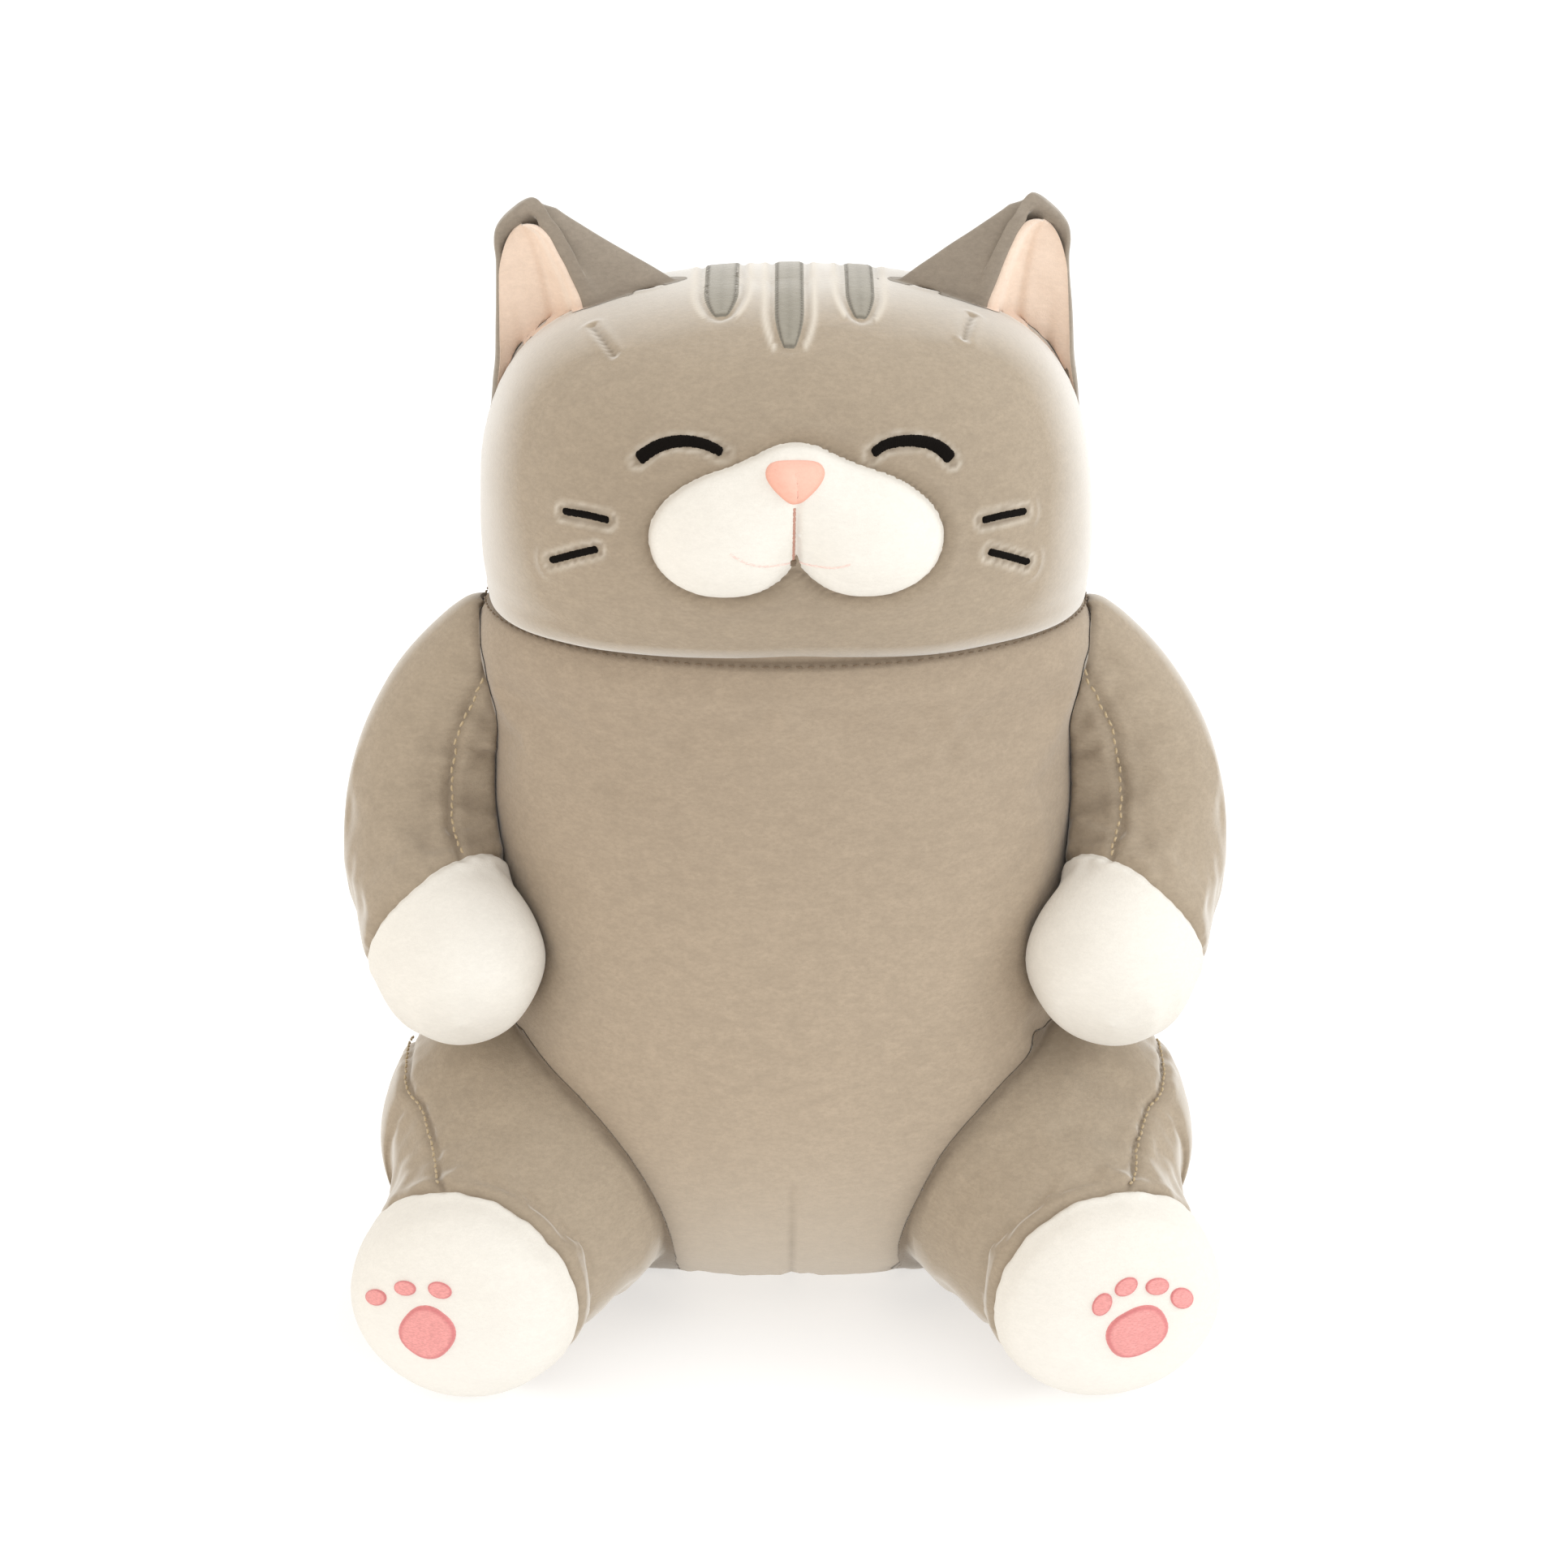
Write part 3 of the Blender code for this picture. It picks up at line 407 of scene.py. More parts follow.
def stuffed(grid, pins, pressure=4.0, grow=0.05, cap=3.5, shrink=1.2, frames=20):
    """The skin after it has been filled: cloth held at its seams and swollen by the filling."""
    normals = outward(grid)
    start = grid - normals * (shrink * MM)
    rows, columns = grid.shape[:2]
    points = start.reshape(-1, 3)
    faces = grid_faces(rows, columns)
    ends = [tuple(range(columns)), tuple(range((rows - 1) * columns, rows * columns))]
    data = bpy.data.meshes.new("filling_run")
    data.from_pydata(points.tolist(), [], faces + [ends[0][::-1], ends[1]])
    helper = bmesh.new()
    helper.from_mesh(data)
    bmesh.ops.recalc_face_normals(helper, faces=helper.faces)
    if helper.calc_volume(signed=True) < 0:
        bmesh.ops.reverse_faces(helper, faces=helper.faces)
    helper.to_mesh(data)
    helper.free()
    item = bpy.data.objects.new("filling_run", data)
    bpy.context.scene.collection.objects.link(item)
    group = item.vertex_groups.new(name="seams")
    weights = pins.reshape(-1)
    for index in np.nonzero(weights > 0.01)[0]:
        group.add([int(index)], float(min(weights[index], 1.0)), "REPLACE")
    cloth = item.modifiers.new("cloth", "CLOTH")
    settings = cloth.settings
    settings.quality = 6
    settings.mass = 0.25
    settings.tension_stiffness = 14
    settings.compression_stiffness = 14
    settings.shear_stiffness = 6
    settings.bending_stiffness = 1.2
    settings.use_pressure = True
    settings.uniform_pressure_force = pressure
    settings.shrink_min = -grow
    settings.vertex_group_mass = "seams"
    settings.effector_weights.gravity = 0.0
    cloth.collision_settings.use_collision = False
    cloth.point_cache.frame_end = frames
    scene = bpy.context.scene
    for step in range(1, frames + 1):
        scene.frame_set(step)
    evaluated = item.evaluated_get(bpy.context.evaluated_depsgraph_get())
    moved = np.zeros(len(points) * 3)
    evaluated.data.vertices.foreach_get("co", moved)
    delta = moved.reshape(grid.shape) - start
    bpy.data.objects.remove(item)
    scene.frame_set(1)
    if not np.isfinite(delta).all():
        return grid
    swell = (delta * normals).sum(-1)
    delta = delta - normals * np.median(swell)
    size = np.linalg.norm(delta, axis=-1, keepdims=True)
    delta = delta / np.maximum(size, 1e-9) * (cap * MM) * np.tanh(size / (cap * MM))
    return grid + delta


# ---------------------------------------------------------------- pieces
def make_mesh(name, points, faces, painted_light=None, painted_shade=None):
    """A smooth closed mesh with its painted light and painted shade and, for its material, its points at
    rest.
    """
    data = bpy.data.meshes.new(name)
    data.from_pydata(np.asarray(points, float).tolist(), [], [tuple(int(v) for v in face) for face in faces])
    for tone, values in (("painted_light", painted_light), ("painted_shade", painted_shade)):
        attribute = data.attributes.new(tone, "FLOAT", "POINT")
        if values is not None:
            attribute.data.foreach_set("value", np.asarray(values, np.float32).ravel())
    rest = data.attributes.new("rest_place", "FLOAT_VECTOR", "POINT")
    rest.data.foreach_set("vector", np.asarray(points, np.float32).ravel())
    helper = bmesh.new()
    helper.from_mesh(data)
    bmesh.ops.remove_doubles(helper, verts=helper.verts, dist=2e-6)
    bmesh.ops.recalc_face_normals(helper, faces=helper.faces)
    helper.to_mesh(data)
    helper.free()
    data.shade_smooth()
    item = bpy.data.objects.new(name, data)
    bpy.context.scene.collection.objects.link(item)
    return item


def finish_piece(item, material, body, nodes=(), bend=None):
    """Gives a piece its material and the CAD nodes it stands for; a piece without a bend is attached to the
    body it moves with, one with a bend only has its placement baked into its points.
    """
    item.data.materials.append(material)
    if bend:
        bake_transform(item)
    else:
        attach(item, body)
    if nodes:
        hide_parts(*nodes)
    return item


def skin_piece(name, skin, keep=None, cap_start=False, cap_end=False):
    """A mesh from a skin, or from the faces of it whose ring and column pass the test."""
    rows, columns = skin.grid.shape[:2]
    faces = grid_faces(rows, columns)
    if keep is not None:
        chosen = keep.reshape(-1)
        faces = [face for number, face in enumerate(faces) if chosen[number]]
    if cap_start:
        faces.append(tuple(range(columns))[::-1])
    if cap_end:
        faces.append(tuple(range((rows - 1) * columns, rows * columns)))
    points = skin.grid.reshape(-1, 3)
    painted_light, painted_shade = skin.painted_light.reshape(-1), skin.painted_shade.reshape(-1)
    used = np.unique([v for face in faces for v in face])
    place = np.full(len(points), -1)
    place[used] = np.arange(len(used))
    faces = [tuple(place[v] for v in face) for face in faces]
    return make_mesh(name, points[used], faces, painted_light[used], painted_shade[used])


def on_front(tree, x, z):
    """The point and normal on the front of a surface at x and z in mm."""
    place, normal, _, _ = tree.ray_cast(Vector((x * MM, -0.4, z * MM)), Vector((0, 1, 0)))
    if place is None:
        return None, None
    if normal.y > 0:
        normal = -normal
    return place, normal


def on_front_line(tree, places, count=60):
    flat = rows_at(places, np.linspace(0, 1, count))
    found = [on_front(tree, x, z)[0] for x, z in flat]
    return np.array([p for p in found if p is not None])


def satin(
    name, tree, places, width, material, body, node, height=1.3, pitch=0.62,
    swell=None, blunt=0.0,
):
    """A raised line of satin stitch on the front of a surface, stitch beside stitch across it."""
    flat = rows_at(places, np.linspace(0, 1, 200))
    length = np.linalg.norm(np.diff(flat, axis=0), axis=1).sum()
    count = max(int(length / 0.2), 12)
    across = 11
    shares = np.linspace(0, 1, count)
    middle = rows_at(places, shares)
    run = unit(rows_at(places, shares + 0.01) - rows_at(places, shares - 0.01))
    points = []
    low = []
    for i, share in enumerate(shares):
        wide = width if swell is None else width * (swell[0] + (swell[1] - swell[0]) * share)
        end = min(share, 1 - share) * length / (0.5 * wide)
        rounded = max(math.sqrt(max(1 - (1 - min(end, 1.0)) ** 2, 0.0)), blunt)
        ridge = abs(math.sin(math.pi * share * length / pitch))
        wobble = 0.06 * math.sin(7.3 * share * length) + 0.05 * math.sin(3.1 * share * length + 1.0)
        for j in range(across):
            v = 2 * j / (across - 1) - 1
            reach = v * (0.5 * wide * (0.25 + 0.75 * rounded) + wobble + 0.10 * ridge)
            x = middle[i, 0] - run[i, 1] * reach
            z = middle[i, 1] + run[i, 0] * reach
            place, normal = on_front(tree, x, z)
            dome = math.sqrt(max(1 - v * v, 0.0))
            lift = height * dome * (0.35 + 0.65 * rounded) * (0.80 + 0.20 * ridge) - 0.35 * (1 - dome)
            points.append(place + normal * lift * MM)
            low.append(place - normal * 0.6 * MM)
    item = make_mesh(name, np.array([list(p) for p in points + low]), sheet_faces(count, across))
    return finish_piece(item, material, body, (node,) if node else ())


def patch(outline, placed, rings=26, corners=120):
    """A closed puffed patch inside an outline in mm. placed gives its top and its underside."""
    around = loop_at(outline, np.arange(corners) / corners)
    top, under, level_of = [], [], []
    levels = 1 - (1 - np.linspace(0, 1, rings)) ** 1.6
    for level in levels[1:]:
        for x, z in around:
            upper, lower = placed(x * level, z * level, level)
            top.append(upper)
            under.append(lower)
            level_of.append(level)
    middle_top, middle_under = placed(0.0, 0.0, 0.0)
    count = len(top)
    points = top + under + [middle_top, middle_under]
    faces = grid_faces(rings - 1, corners)
    faces += [tuple(v + count for v in face[::-1]) for face in faces]
    for j in range(corners):
        k = (j + 1) % corners
        faces.append((2 * count, k, j))
        faces.append((2 * count + 1, count + j, count + k))
        last = (rings - 2) * corners
        faces.append((last + j, last + k, count + last + k, count + last + j))
    return np.array([list(p) for p in points]), faces, np.array(level_of + level_of + [0.0, 0.0])


def oval(half_width, half_height, turn, corners=28, power=2.0):
    spin = math.radians(turn)
    angles = 2 * math.pi * np.arange(corners) / corners
    x = half_width * powered(np.cos(angles), power)
    z = half_height * powered(np.sin(angles), power)
    return np.stack([x * math.cos(spin) - z * math.sin(spin), x * math.sin(spin) + z * math.cos(spin)], 1)


def stitches(name, tree, line, pitch, length, radius, material, body, lift=0.0, slant=0.0, bend=None):
    """A row of separate stitches along a line, each a short bulging thread that dips in at its ends."""
    dense, along = polyline(line, 0.25 * MM)
    points, faces = [], []
    rings, sides = 7, 8
    starts = np.arange(0.6 * pitch, along[-1] / MM - length, pitch)
    for number, start in enumerate(starts):
        a = dense[np.searchsorted(along, start * MM)]
        b = dense[min(np.searchsorted(along, (start + length) * MM), len(dense) - 1)]
        run = unit(b - a)
        found, normal, _, _ = tree.find_nearest(Vector((a + b) / 2))
        up = np.array(normal)
        up = unit(up - run * (up @ run))
        side = np.cross(run, up)
        tilt = slant * (1 if number % 2 else -1)
        run = unit(run + side * tilt)
        side = np.cross(run, up)
        middle = (a + b) / 2 + up * lift * MM
        first = len(points)
        for ring in range(rings):
            t = ring / (rings - 1)
            thick = radius * (0.45 + 0.55 * math.sin(math.pi * t) ** 0.6)
            arch = 0.6 * radius * math.sin(math.pi * t) - 0.5 * radius
            centre = middle + run * (t - 0.5) * length * MM + up * arch * MM
            for k in range(sides):
                angle = 2 * math.pi * k / sides
                points.append(centre + (side * math.cos(angle) + up * math.sin(angle)) * thick * MM)
        faces += grid_faces(rings, sides, True, first)
        faces.append(tuple(first + k for k in range(sides))[::-1])
        faces.append(tuple(first + (rings - 1) * sides + k for k in range(sides)))
    item = make_mesh(name, np.array(points), faces)
    return finish_piece(item, material, body, (), bend)


# ---------------------------------------------------------------- materials
class Nodes:
    """Short calls for building a material's node tree."""

    def __init__(self, name):
        self.material = bpy.data.materials.new(name)
        self.material.use_nodes = True
        self.tree = self.material.node_tree
        self.shader = self.tree.nodes["Principled BSDF"]

    def add(self, kind, inputs=(), **settings):
        node = self.tree.nodes.new(kind)
        for key, value in settings.items():
            setattr(node, key, value)
        for key, value in dict(inputs).items():
            if isinstance(value, bpy.types.NodeSocket):
                self.tree.links.new(value, node.inputs[key])
            else:
                node.inputs[key].default_value = value
        return node

    def link(self, output, socket):
        self.tree.links.new(output, socket)

    def attribute(self, name, output="Fac"):
        return self.add("ShaderNodeAttribute", attribute_name=name).outputs[output]

    def mix(self, share, first, second):
        node = self.add("ShaderNodeMix", data_type="RGBA")
        for key, value in ((0, share), (6, first), (7, second)):
            if isinstance(value, bpy.types.NodeSocket):
                self.link(value, node.inputs[key])
            else:
                node.inputs[key].default_value = value if key == 0 else (*value, 1.0)
        return node.outputs[2]

    def ranged(self, value, low, high, to_low=0.0, to_high=1.0):
        node = self.add(
            "ShaderNodeMapRange",
            inputs={"From Min": low, "From Max": high, "To Min": to_low, "To Max": to_high},
        )
        self.link(value, node.inputs["Value"])
        return node.outputs["Result"]

    def noise(self, place, scale, detail=3.0, roughness=0.55):
        node = self.add(
            "ShaderNodeTexNoise", inputs={"Scale": scale, "Detail": detail, "Roughness": roughness},
        )
        self.link(place, node.inputs["Vector"])
        return node.outputs["Fac"]

    def stretched(self, place, scale):
        node = self.add("ShaderNodeMapping", inputs={"Scale": scale})
        self.link(place, node.inputs["Vector"])
        return node.outputs["Vector"]

    def bump(self, height, strength, distance, below=None):
        node = self.add("ShaderNodeBump", inputs={"Strength": strength, "Distance": distance})
        self.link(height, node.inputs["Height"])
        if below is not None:
            self.link(below, node.inputs["Normal"])
        return node.outputs["Normal"]


def shade(colour, factor):
    return tuple(min(max(c * factor, 0.0), 1.0) for c in colour)


def plush(name, colour, painted_light, painted_shade, sheen=0.5, mottle=0.06, pile=0.6, rim=(0.0, (0.72, 0.70, 0.65), 0.42)):
    """Short-pile plush: fine fibres, brushed patches, a sheen, a painted highlight on the rim where it's seen
    edge on, and painted light and shade from the mesh's tones.
    """
    n = Nodes(name)
    place = n.attribute("rest_place", "Vector")
    brushed = n.noise(n.stretched(place, (130.0, 130.0, 260.0)), 1.0, 4.0, 0.65)
    broad = n.noise(place, 20.0, 2.0, 0.5)
    fibres = n.noise(n.stretched(place, (480.0, 480.0, 900.0)), 1.0, 4.0, 0.7)
    fine = n.noise(place, 2300.0, 2.0, 0.6)
    base = n.mix(n.ranged(brushed, 0.36, 0.64), shade(colour, 1 - mottle), shade(colour, 1 + mottle))
    base = n.mix(n.ranged(broad, 0.38, 0.62, 0.0, 0.35), base, shade(colour, 1 + 1.0 * mottle))
    base = n.mix(n.ranged(fibres, 0.40, 0.64, 0.0, 0.55), base, shade(colour, 1 - 3.0 * mottle))
    # Painted highlight: the colour blends to a pale tint where the surface turns edge on
    turned_away = n.add("ShaderNodeLayerWeight", inputs={"Blend": 0.5}).outputs["Facing"]
    base = n.mix(n.ranged(turned_away, rim[2], 0.96, 0.0, rim[0]), base, rim[1])
    # Painted light and painted shade, as the mesh's tones ask
    base = n.mix(n.attribute("painted_light"), base, painted_light)
    base = n.mix(n.attribute("painted_shade"), base, painted_shade)
    n.link(base, n.shader.inputs["Base Color"])
    n.shader.inputs["Roughness"].default_value = 0.92
    n.shader.inputs["Specular IOR Level"].default_value = 0.12
    n.shader.inputs["Sheen Weight"].default_value = sheen
    n.shader.inputs["Sheen Roughness"].default_value = 0.38
    n.shader.inputs["Sheen Tint"].default_value = (1.0, 0.985, 0.96, 1.0)
    coarse = n.bump(brushed, 0.14, 0.7 * MM)
    middle = n.bump(fibres, pile, 0.35 * MM, coarse)
    n.link(n.bump(fine, pile * 0.8, 0.15 * MM, middle), n.shader.inputs["Normal"])
    return n.material


def thread(name, colour, painted_shade, roughness=0.42, sheen=0.2, specular=0.3):
    """Embroidery thread: fine strands of lighter and darker thread, a satin gleam, and painted shade where
    the mesh's tones ask for it.
    """
    n = Nodes(name)
    place = n.attribute("rest_place", "Vector")
    strands = n.noise(n.stretched(place, (900.0, 900.0, 2600.0)), 1.0, 2.0, 0.6)
    patches = n.noise(place, 240.0, 2.0, 0.5)
    base = n.mix(n.ranged(strands, 0.35, 0.65), shade(colour, 0.86), shade(colour, 1.12))
    base = n.mix(n.ranged(patches, 0.4, 0.6, 0.0, 0.25), base, shade(colour, 0.85))
    # Painted shade, as the mesh's tone asks
    base = n.mix(n.attribute("painted_shade"), base, painted_shade)
    n.link(base, n.shader.inputs["Base Color"])
    n.shader.inputs["Roughness"].default_value = roughness
    n.shader.inputs["Specular IOR Level"].default_value = specular
    n.shader.inputs["Sheen Weight"].default_value = sheen
    n.shader.inputs["Sheen Roughness"].default_value = 0.4
    n.link(n.bump(strands, 0.5, 0.12 * MM), n.shader.inputs["Normal"])
    return n.material


# The paler and darker tints that painted light and painted shade blend to. Copies of one grey plush per part
# differ in base tone and sheen, and rim sets each copy's painted rim highlight
GREY_LIGHT_AND_SHADE = ((0.70, 0.64, 0.55), (0.10, 0.07, 0.045))
grey = plush("grey_plush_looks", (0.415, 0.335, 0.250), *GREY_LIGHT_AND_SHADE, sheen=0.35)
head_grey = plush(
    "head_plush_looks", (0.385, 0.315, 0.235), *GREY_LIGHT_AND_SHADE, sheen=0.7, rim=(0.85, (0.82, 0.80, 0.76), 0.44),
)
limb_grey = plush(
    "limb_plush_looks", (0.385, 0.315, 0.235), *GREY_LIGHT_AND_SHADE, sheen=0.4, rim=(0.7, (0.74, 0.71, 0.66), 0.58),
)
ear_grey = plush(
    "ear_plush_looks", (0.300, 0.255, 0.205), *GREY_LIGHT_AND_SHADE, sheen=0.35, rim=(0.3, (0.7, 0.68, 0.63), 0.5),
)
dark_grey = plush(
    "dark_grey_plush_looks", (0.245, 0.225, 0.180), (0.40, 0.37, 0.31), (0.06, 0.05, 0.038), sheen=0.7,
)
white = plush(
    "white_plush_looks", (0.775, 0.745, 0.685), (0.90, 0.89, 0.86), (0.42, 0.34, 0.26), sheen=0.2,
    mottle=0.02, pile=0.55,
)
peach = plush(
    "peach_plush_looks", (0.82, 0.66, 0.54), (0.90, 0.78, 0.68), (0.55, 0.32, 0.21), sheen=0.3, mottle=0.03,
    rim=(0.5, (0.9, 0.85, 0.78), 0.42),
)
pink_plush = plush(
    "nose_plush_looks", (0.85, 0.47, 0.37), (0.93, 0.66, 0.55), (0.66, 0.30, 0.22), sheen=0.3, mottle=0.03,
)
black_thread = thread(
    "black_thread_looks", (0.006, 0.0045, 0.0035), (0.003, 0.002, 0.002), roughness=0.75, sheen=0.0,
    specular=0.06,
)
pink_thread = thread("pink_thread_looks", (0.76, 0.32, 0.305), (0.52, 0.13, 0.14), roughness=0.5)
smile_thread = thread("smile_thread_looks", (0.84, 0.66, 0.60), (0.75, 0.5, 0.45), roughness=0.7)
line_thread = thread("mouth_thread_looks", (0.50, 0.27, 0.21), (0.25, 0.10, 0.07), roughness=0.6)
seam_thread = thread("seam_thread_looks", (0.175, 0.125, 0.08), (0.08, 0.05, 0.03), roughness=0.6)
pale_thread = thread("pale_seam_thread_looks", (0.46, 0.36, 0.22), (0.15, 0.11, 0.07), roughness=0.6)


# ---------------------------------------------------------------- torso
def angles(count):
    return 2 * math.pi * np.arange(count) / count - math.pi


def ring_grid(point, shares, columns):
    share, angle = np.meshgrid(shares, angles(columns), indexing="ij")
    return point(share, angle)


NECK_SEAM_SHARE = 13.78 / 19.0  # where the head's rim meets the dome
NECK_STITCH_SHARE = 13.72 / 19.0
DETAIL = 4

torso_shares = even_shares(torso_point, 0.0, 0.86, 54)
torso_grid = ring_grid(torso_point, torso_shares, 100)
pins = np.zeros(torso_grid.shape[:2])
side_gap = np.minimum(np.abs(angles(100)), np.abs(np.abs(angles(100)) - math.pi))
pins[:, side_gap < 0.02] = 1.0
pins[torso_grid[..., 2] < 2.5 * MM] = 1.0
pins[torso_grid[..., 2] > 240 * MM] = 1.0
full_side = (
    np.exp(-((torso_grid[..., 2] / MM - 190.0) / 55.0) ** 2)
    * np.clip(-torso_grid[..., 0] / (95 * MM), 0, 1) ** 2
)
torso_grid[..., 0] -= 2.4 * MM * full_side
torso_grid = stuffed(torso_grid, pins, grow=0.02, cap=1.6)
torso = Skin(refined(torso_grid, DETAIL))
torso.grid[..., 2] = np.maximum(torso.grid[..., 2], 0.0)
torso.soften(60.0, 0.9, 5)
torso.soften(24.0, 0.25, 9)
fine_shares = np.linspace(0.02, 0.80, 300)
for angle in (0.0, math.pi):
    torso.seam(
        torso_point(fine_shares, np.full(300, angle)), depth=1.3, pucker=0.4, pitch=7.0, reach=7.0, seed=3,
    )
bottom = torso_point(np.linspace(0.06, 0.33, 160), np.full(160, -math.pi / 2 + 0.012))
torso.seam(bottom, depth=1.3, width=1.7, pucker=0.2, pitch=9.0, reach=5.0, seed=8, painted_shade=0.6, roll=0.4)
back_line = torso_point(np.linspace(0.10, 0.74, 300), np.full(300, math.pi / 2))
torso.seam(back_line, depth=1.1, pucker=0.35, pitch=8.0, reach=7.0, seed=12)
seat_ring = ring_grid(torso_point, np.array([0.175]), 300)[0]
torso.seam(np.concatenate([seat_ring, seat_ring[:1]]), depth=1.0, pucker=0.5, pitch=9.0, reach=6.0, seed=14)
torso.grid[..., 2] = np.maximum(torso.grid[..., 2], 0.0)
torso_tree = tree_of(torso.grid)
inside_torso = Vector((0, 5 * MM, 110 * MM))

# Painted light low on the belly, and painted shade high on the chest below the head
low = 1 / (1 + np.exp((torso.grid[..., 2] / MM - 52.0) / 16.0))
torso.painted_light = np.maximum(torso.painted_light, 0.55 * low)
high = 1 / (1 + np.exp((165.0 - torso.grid[..., 2] / MM) / 18.0))
torso.painted_shade = np.maximum(torso.painted_shade, 0.12 * high)
# Painted shade along the groove of the bottom dart
dart_d, _ = near(torso.grid, bottom, 8 * MM)
torso.painted_shade = np.maximum(torso.painted_shade, 0.6 * np.exp(-(dart_d / (1.1 * MM)) ** 2))

# The head's rim presses a groove round the neck, with painted shade in it
neck_angle = angles(400)
neck_line = torso_point(np.full(400, NECK_SEAM_SHARE), neck_angle)
neck_d, _ = near(torso.grid, np.concatenate([neck_line, neck_line[:1]]), 24 * MM)
torso.move(-2.6 * MM * np.exp(-((neck_d / MM) / 4.5) ** 2))
torso.painted_shade = np.maximum(torso.painted_shade, 0.75 * np.exp(-(neck_d / (2.6 * MM)) ** 2))

# ---------------------------------------------------------------- head
head_shares = even_shares(head_point, 0.0, 1.0, 40)
head_grid = ring_grid(head_point, head_shares, 100)
pins = np.zeros(head_grid.shape[:2])
pins[:3] = 1.0
head_grid = stuffed(head_grid, pins, grow=0.01, cap=1.2)
head = Skin(refined(head_grid, DETAIL))
head.soften(55.0, 0.8, 21)
head.soften(22.0, 0.2, 23)
head_tree = tree_of(head.grid)
# Painted shade over the middle of the face
spread = (head.grid[..., 0] / (62 * MM)) ** 2 + ((head.grid[..., 2] / MM - 300.0) / 34.0) ** 2
head.painted_shade = np.maximum(head.painted_shade, 0.26 * np.exp(-spread) * (head.grid[..., 1] < 0))


def crown_line(offset_y, low, high, count=240):
    """Points over the head in a plane that runs from ear to ear."""
    points = []
    for angle in np.radians(np.linspace(low, high, count)):
        start = Vector((0, offset_y * MM, 290 * MM))
        found, _, _, _ = head_tree.ray_cast(start, Vector((math.cos(angle), 0, math.sin(angle))))
        if found is not None:
            points.append(found)
    return np.array([list(p) for p in points])


muzzle_loop = [(FACE_X + x, MUZZLE_Z + z) for x, z in MUZZLE_HALF]
muzzle_loop += [(FACE_X - x, MUZZLE_Z + z) for x, z in reversed(MUZZLE_HALF[1:-1])]
muzzle_flat = loop_at(muzzle_loop, np.linspace(0, 1, 300, endpoint=False))
muzzle_line = np.array([list(on_front(head_tree, x, z)[0]) for x, z in muzzle_flat])
muzzle_line = np.concatenate([muzzle_line, muzzle_line[:1]])


def stripe_places(x, tip_z, half, rows=120, columns=25, grow=0.0):
    """A stripe over the forehead, from its rounded point to behind the crown: its grid and its normals."""
    centre = Vector((0.0, 4 * MM, 290 * MM))
    tip, _ = on_front(head_tree, x, tip_z)
    first = math.atan2(tip.z - centre.z, tip.y - centre.y)
    last = math.radians(45.0)
    places = np.zeros((rows, columns, 3))
    normals = np.zeros((rows, columns, 3))
    for i, share in enumerate(np.linspace(0, 1, rows)):
        angle = first + (last - first) * share
        run = share * (first - last) * 66.0
        tail = (1 - share) * (first - last) * 66.0
        narrow = min(1.0, 0.16 + 0.84 * math.sin(min(run / 19.0, 1.0) * math.pi / 2) ** 0.62)
        narrow *= min(1.0, math.sqrt(max(1 - (1 - min(tail / 5.0, 1.0)) ** 2, 0.0)) + 0.03)
        narrow *= min(1.0, math.sqrt(max(1 - (1 - min(run / 2.6, 1.0)) ** 2, 0.0)) + 0.06)
        for j in range(columns):
            v = 2 * j / (columns - 1) - 1
            start = Vector(((x + v * (half + grow) * narrow) * MM, centre.y, centre.z))
            found, normal, _, _ = head_tree.ray_cast(start, Vector((0, math.cos(angle), math.sin(angle))))
            if normal.dot(found - centre) < 0:
                normal = -normal
            places[i, j] = found
            normals[i, j] = normal
    return places, normals


stripes = {word: stripe_places(x, tip_z, half) for word, x, tip_z, half in STRIPES}

head.seam(
    np.array([list(p) for p in muzzle_line]), depth=2.2, width=2.0, pucker=0.45, pitch=3.4, reach=3.6,
    seed=31, painted_shade=0.55, roll=0.5,
)
# Eyes and whiskers sink into the head with a roll raised beside them: a painted highlight ring just outside
# the thread, painted shade closer in
for line, wide, deep in [(e, 3.4, 0.9) for e in EYES.values()] + [(w, 2.7, 0.7) for w in WHISKERS.values()]:
    d, run = near(head.grid, on_front_line(head_tree, line), 16 * MM)
    d = d / MM
    ripple = 0.22 * np.cos(2 * math.pi * run / (2.6 * MM)) * np.exp(-((d - 3.2) / 1.4) ** 2)
    head.move((-deep * np.exp(-(d / wide) ** 2) + 0.45 * np.exp(-((d - 5.2) / 1.8) ** 2) + ripple) * MM)
    uneven_highlight = 0.42 + 0.40 * lumps(head.grid, 2.2 * MM, 61)
    head.painted_light = np.maximum(head.painted_light, uneven_highlight * np.exp(-((d - 2.9) / 0.95) ** 2))
    head.painted_shade = np.maximum(head.painted_shade, 0.45 * np.exp(-((d - 1.9) / 0.5) ** 2))
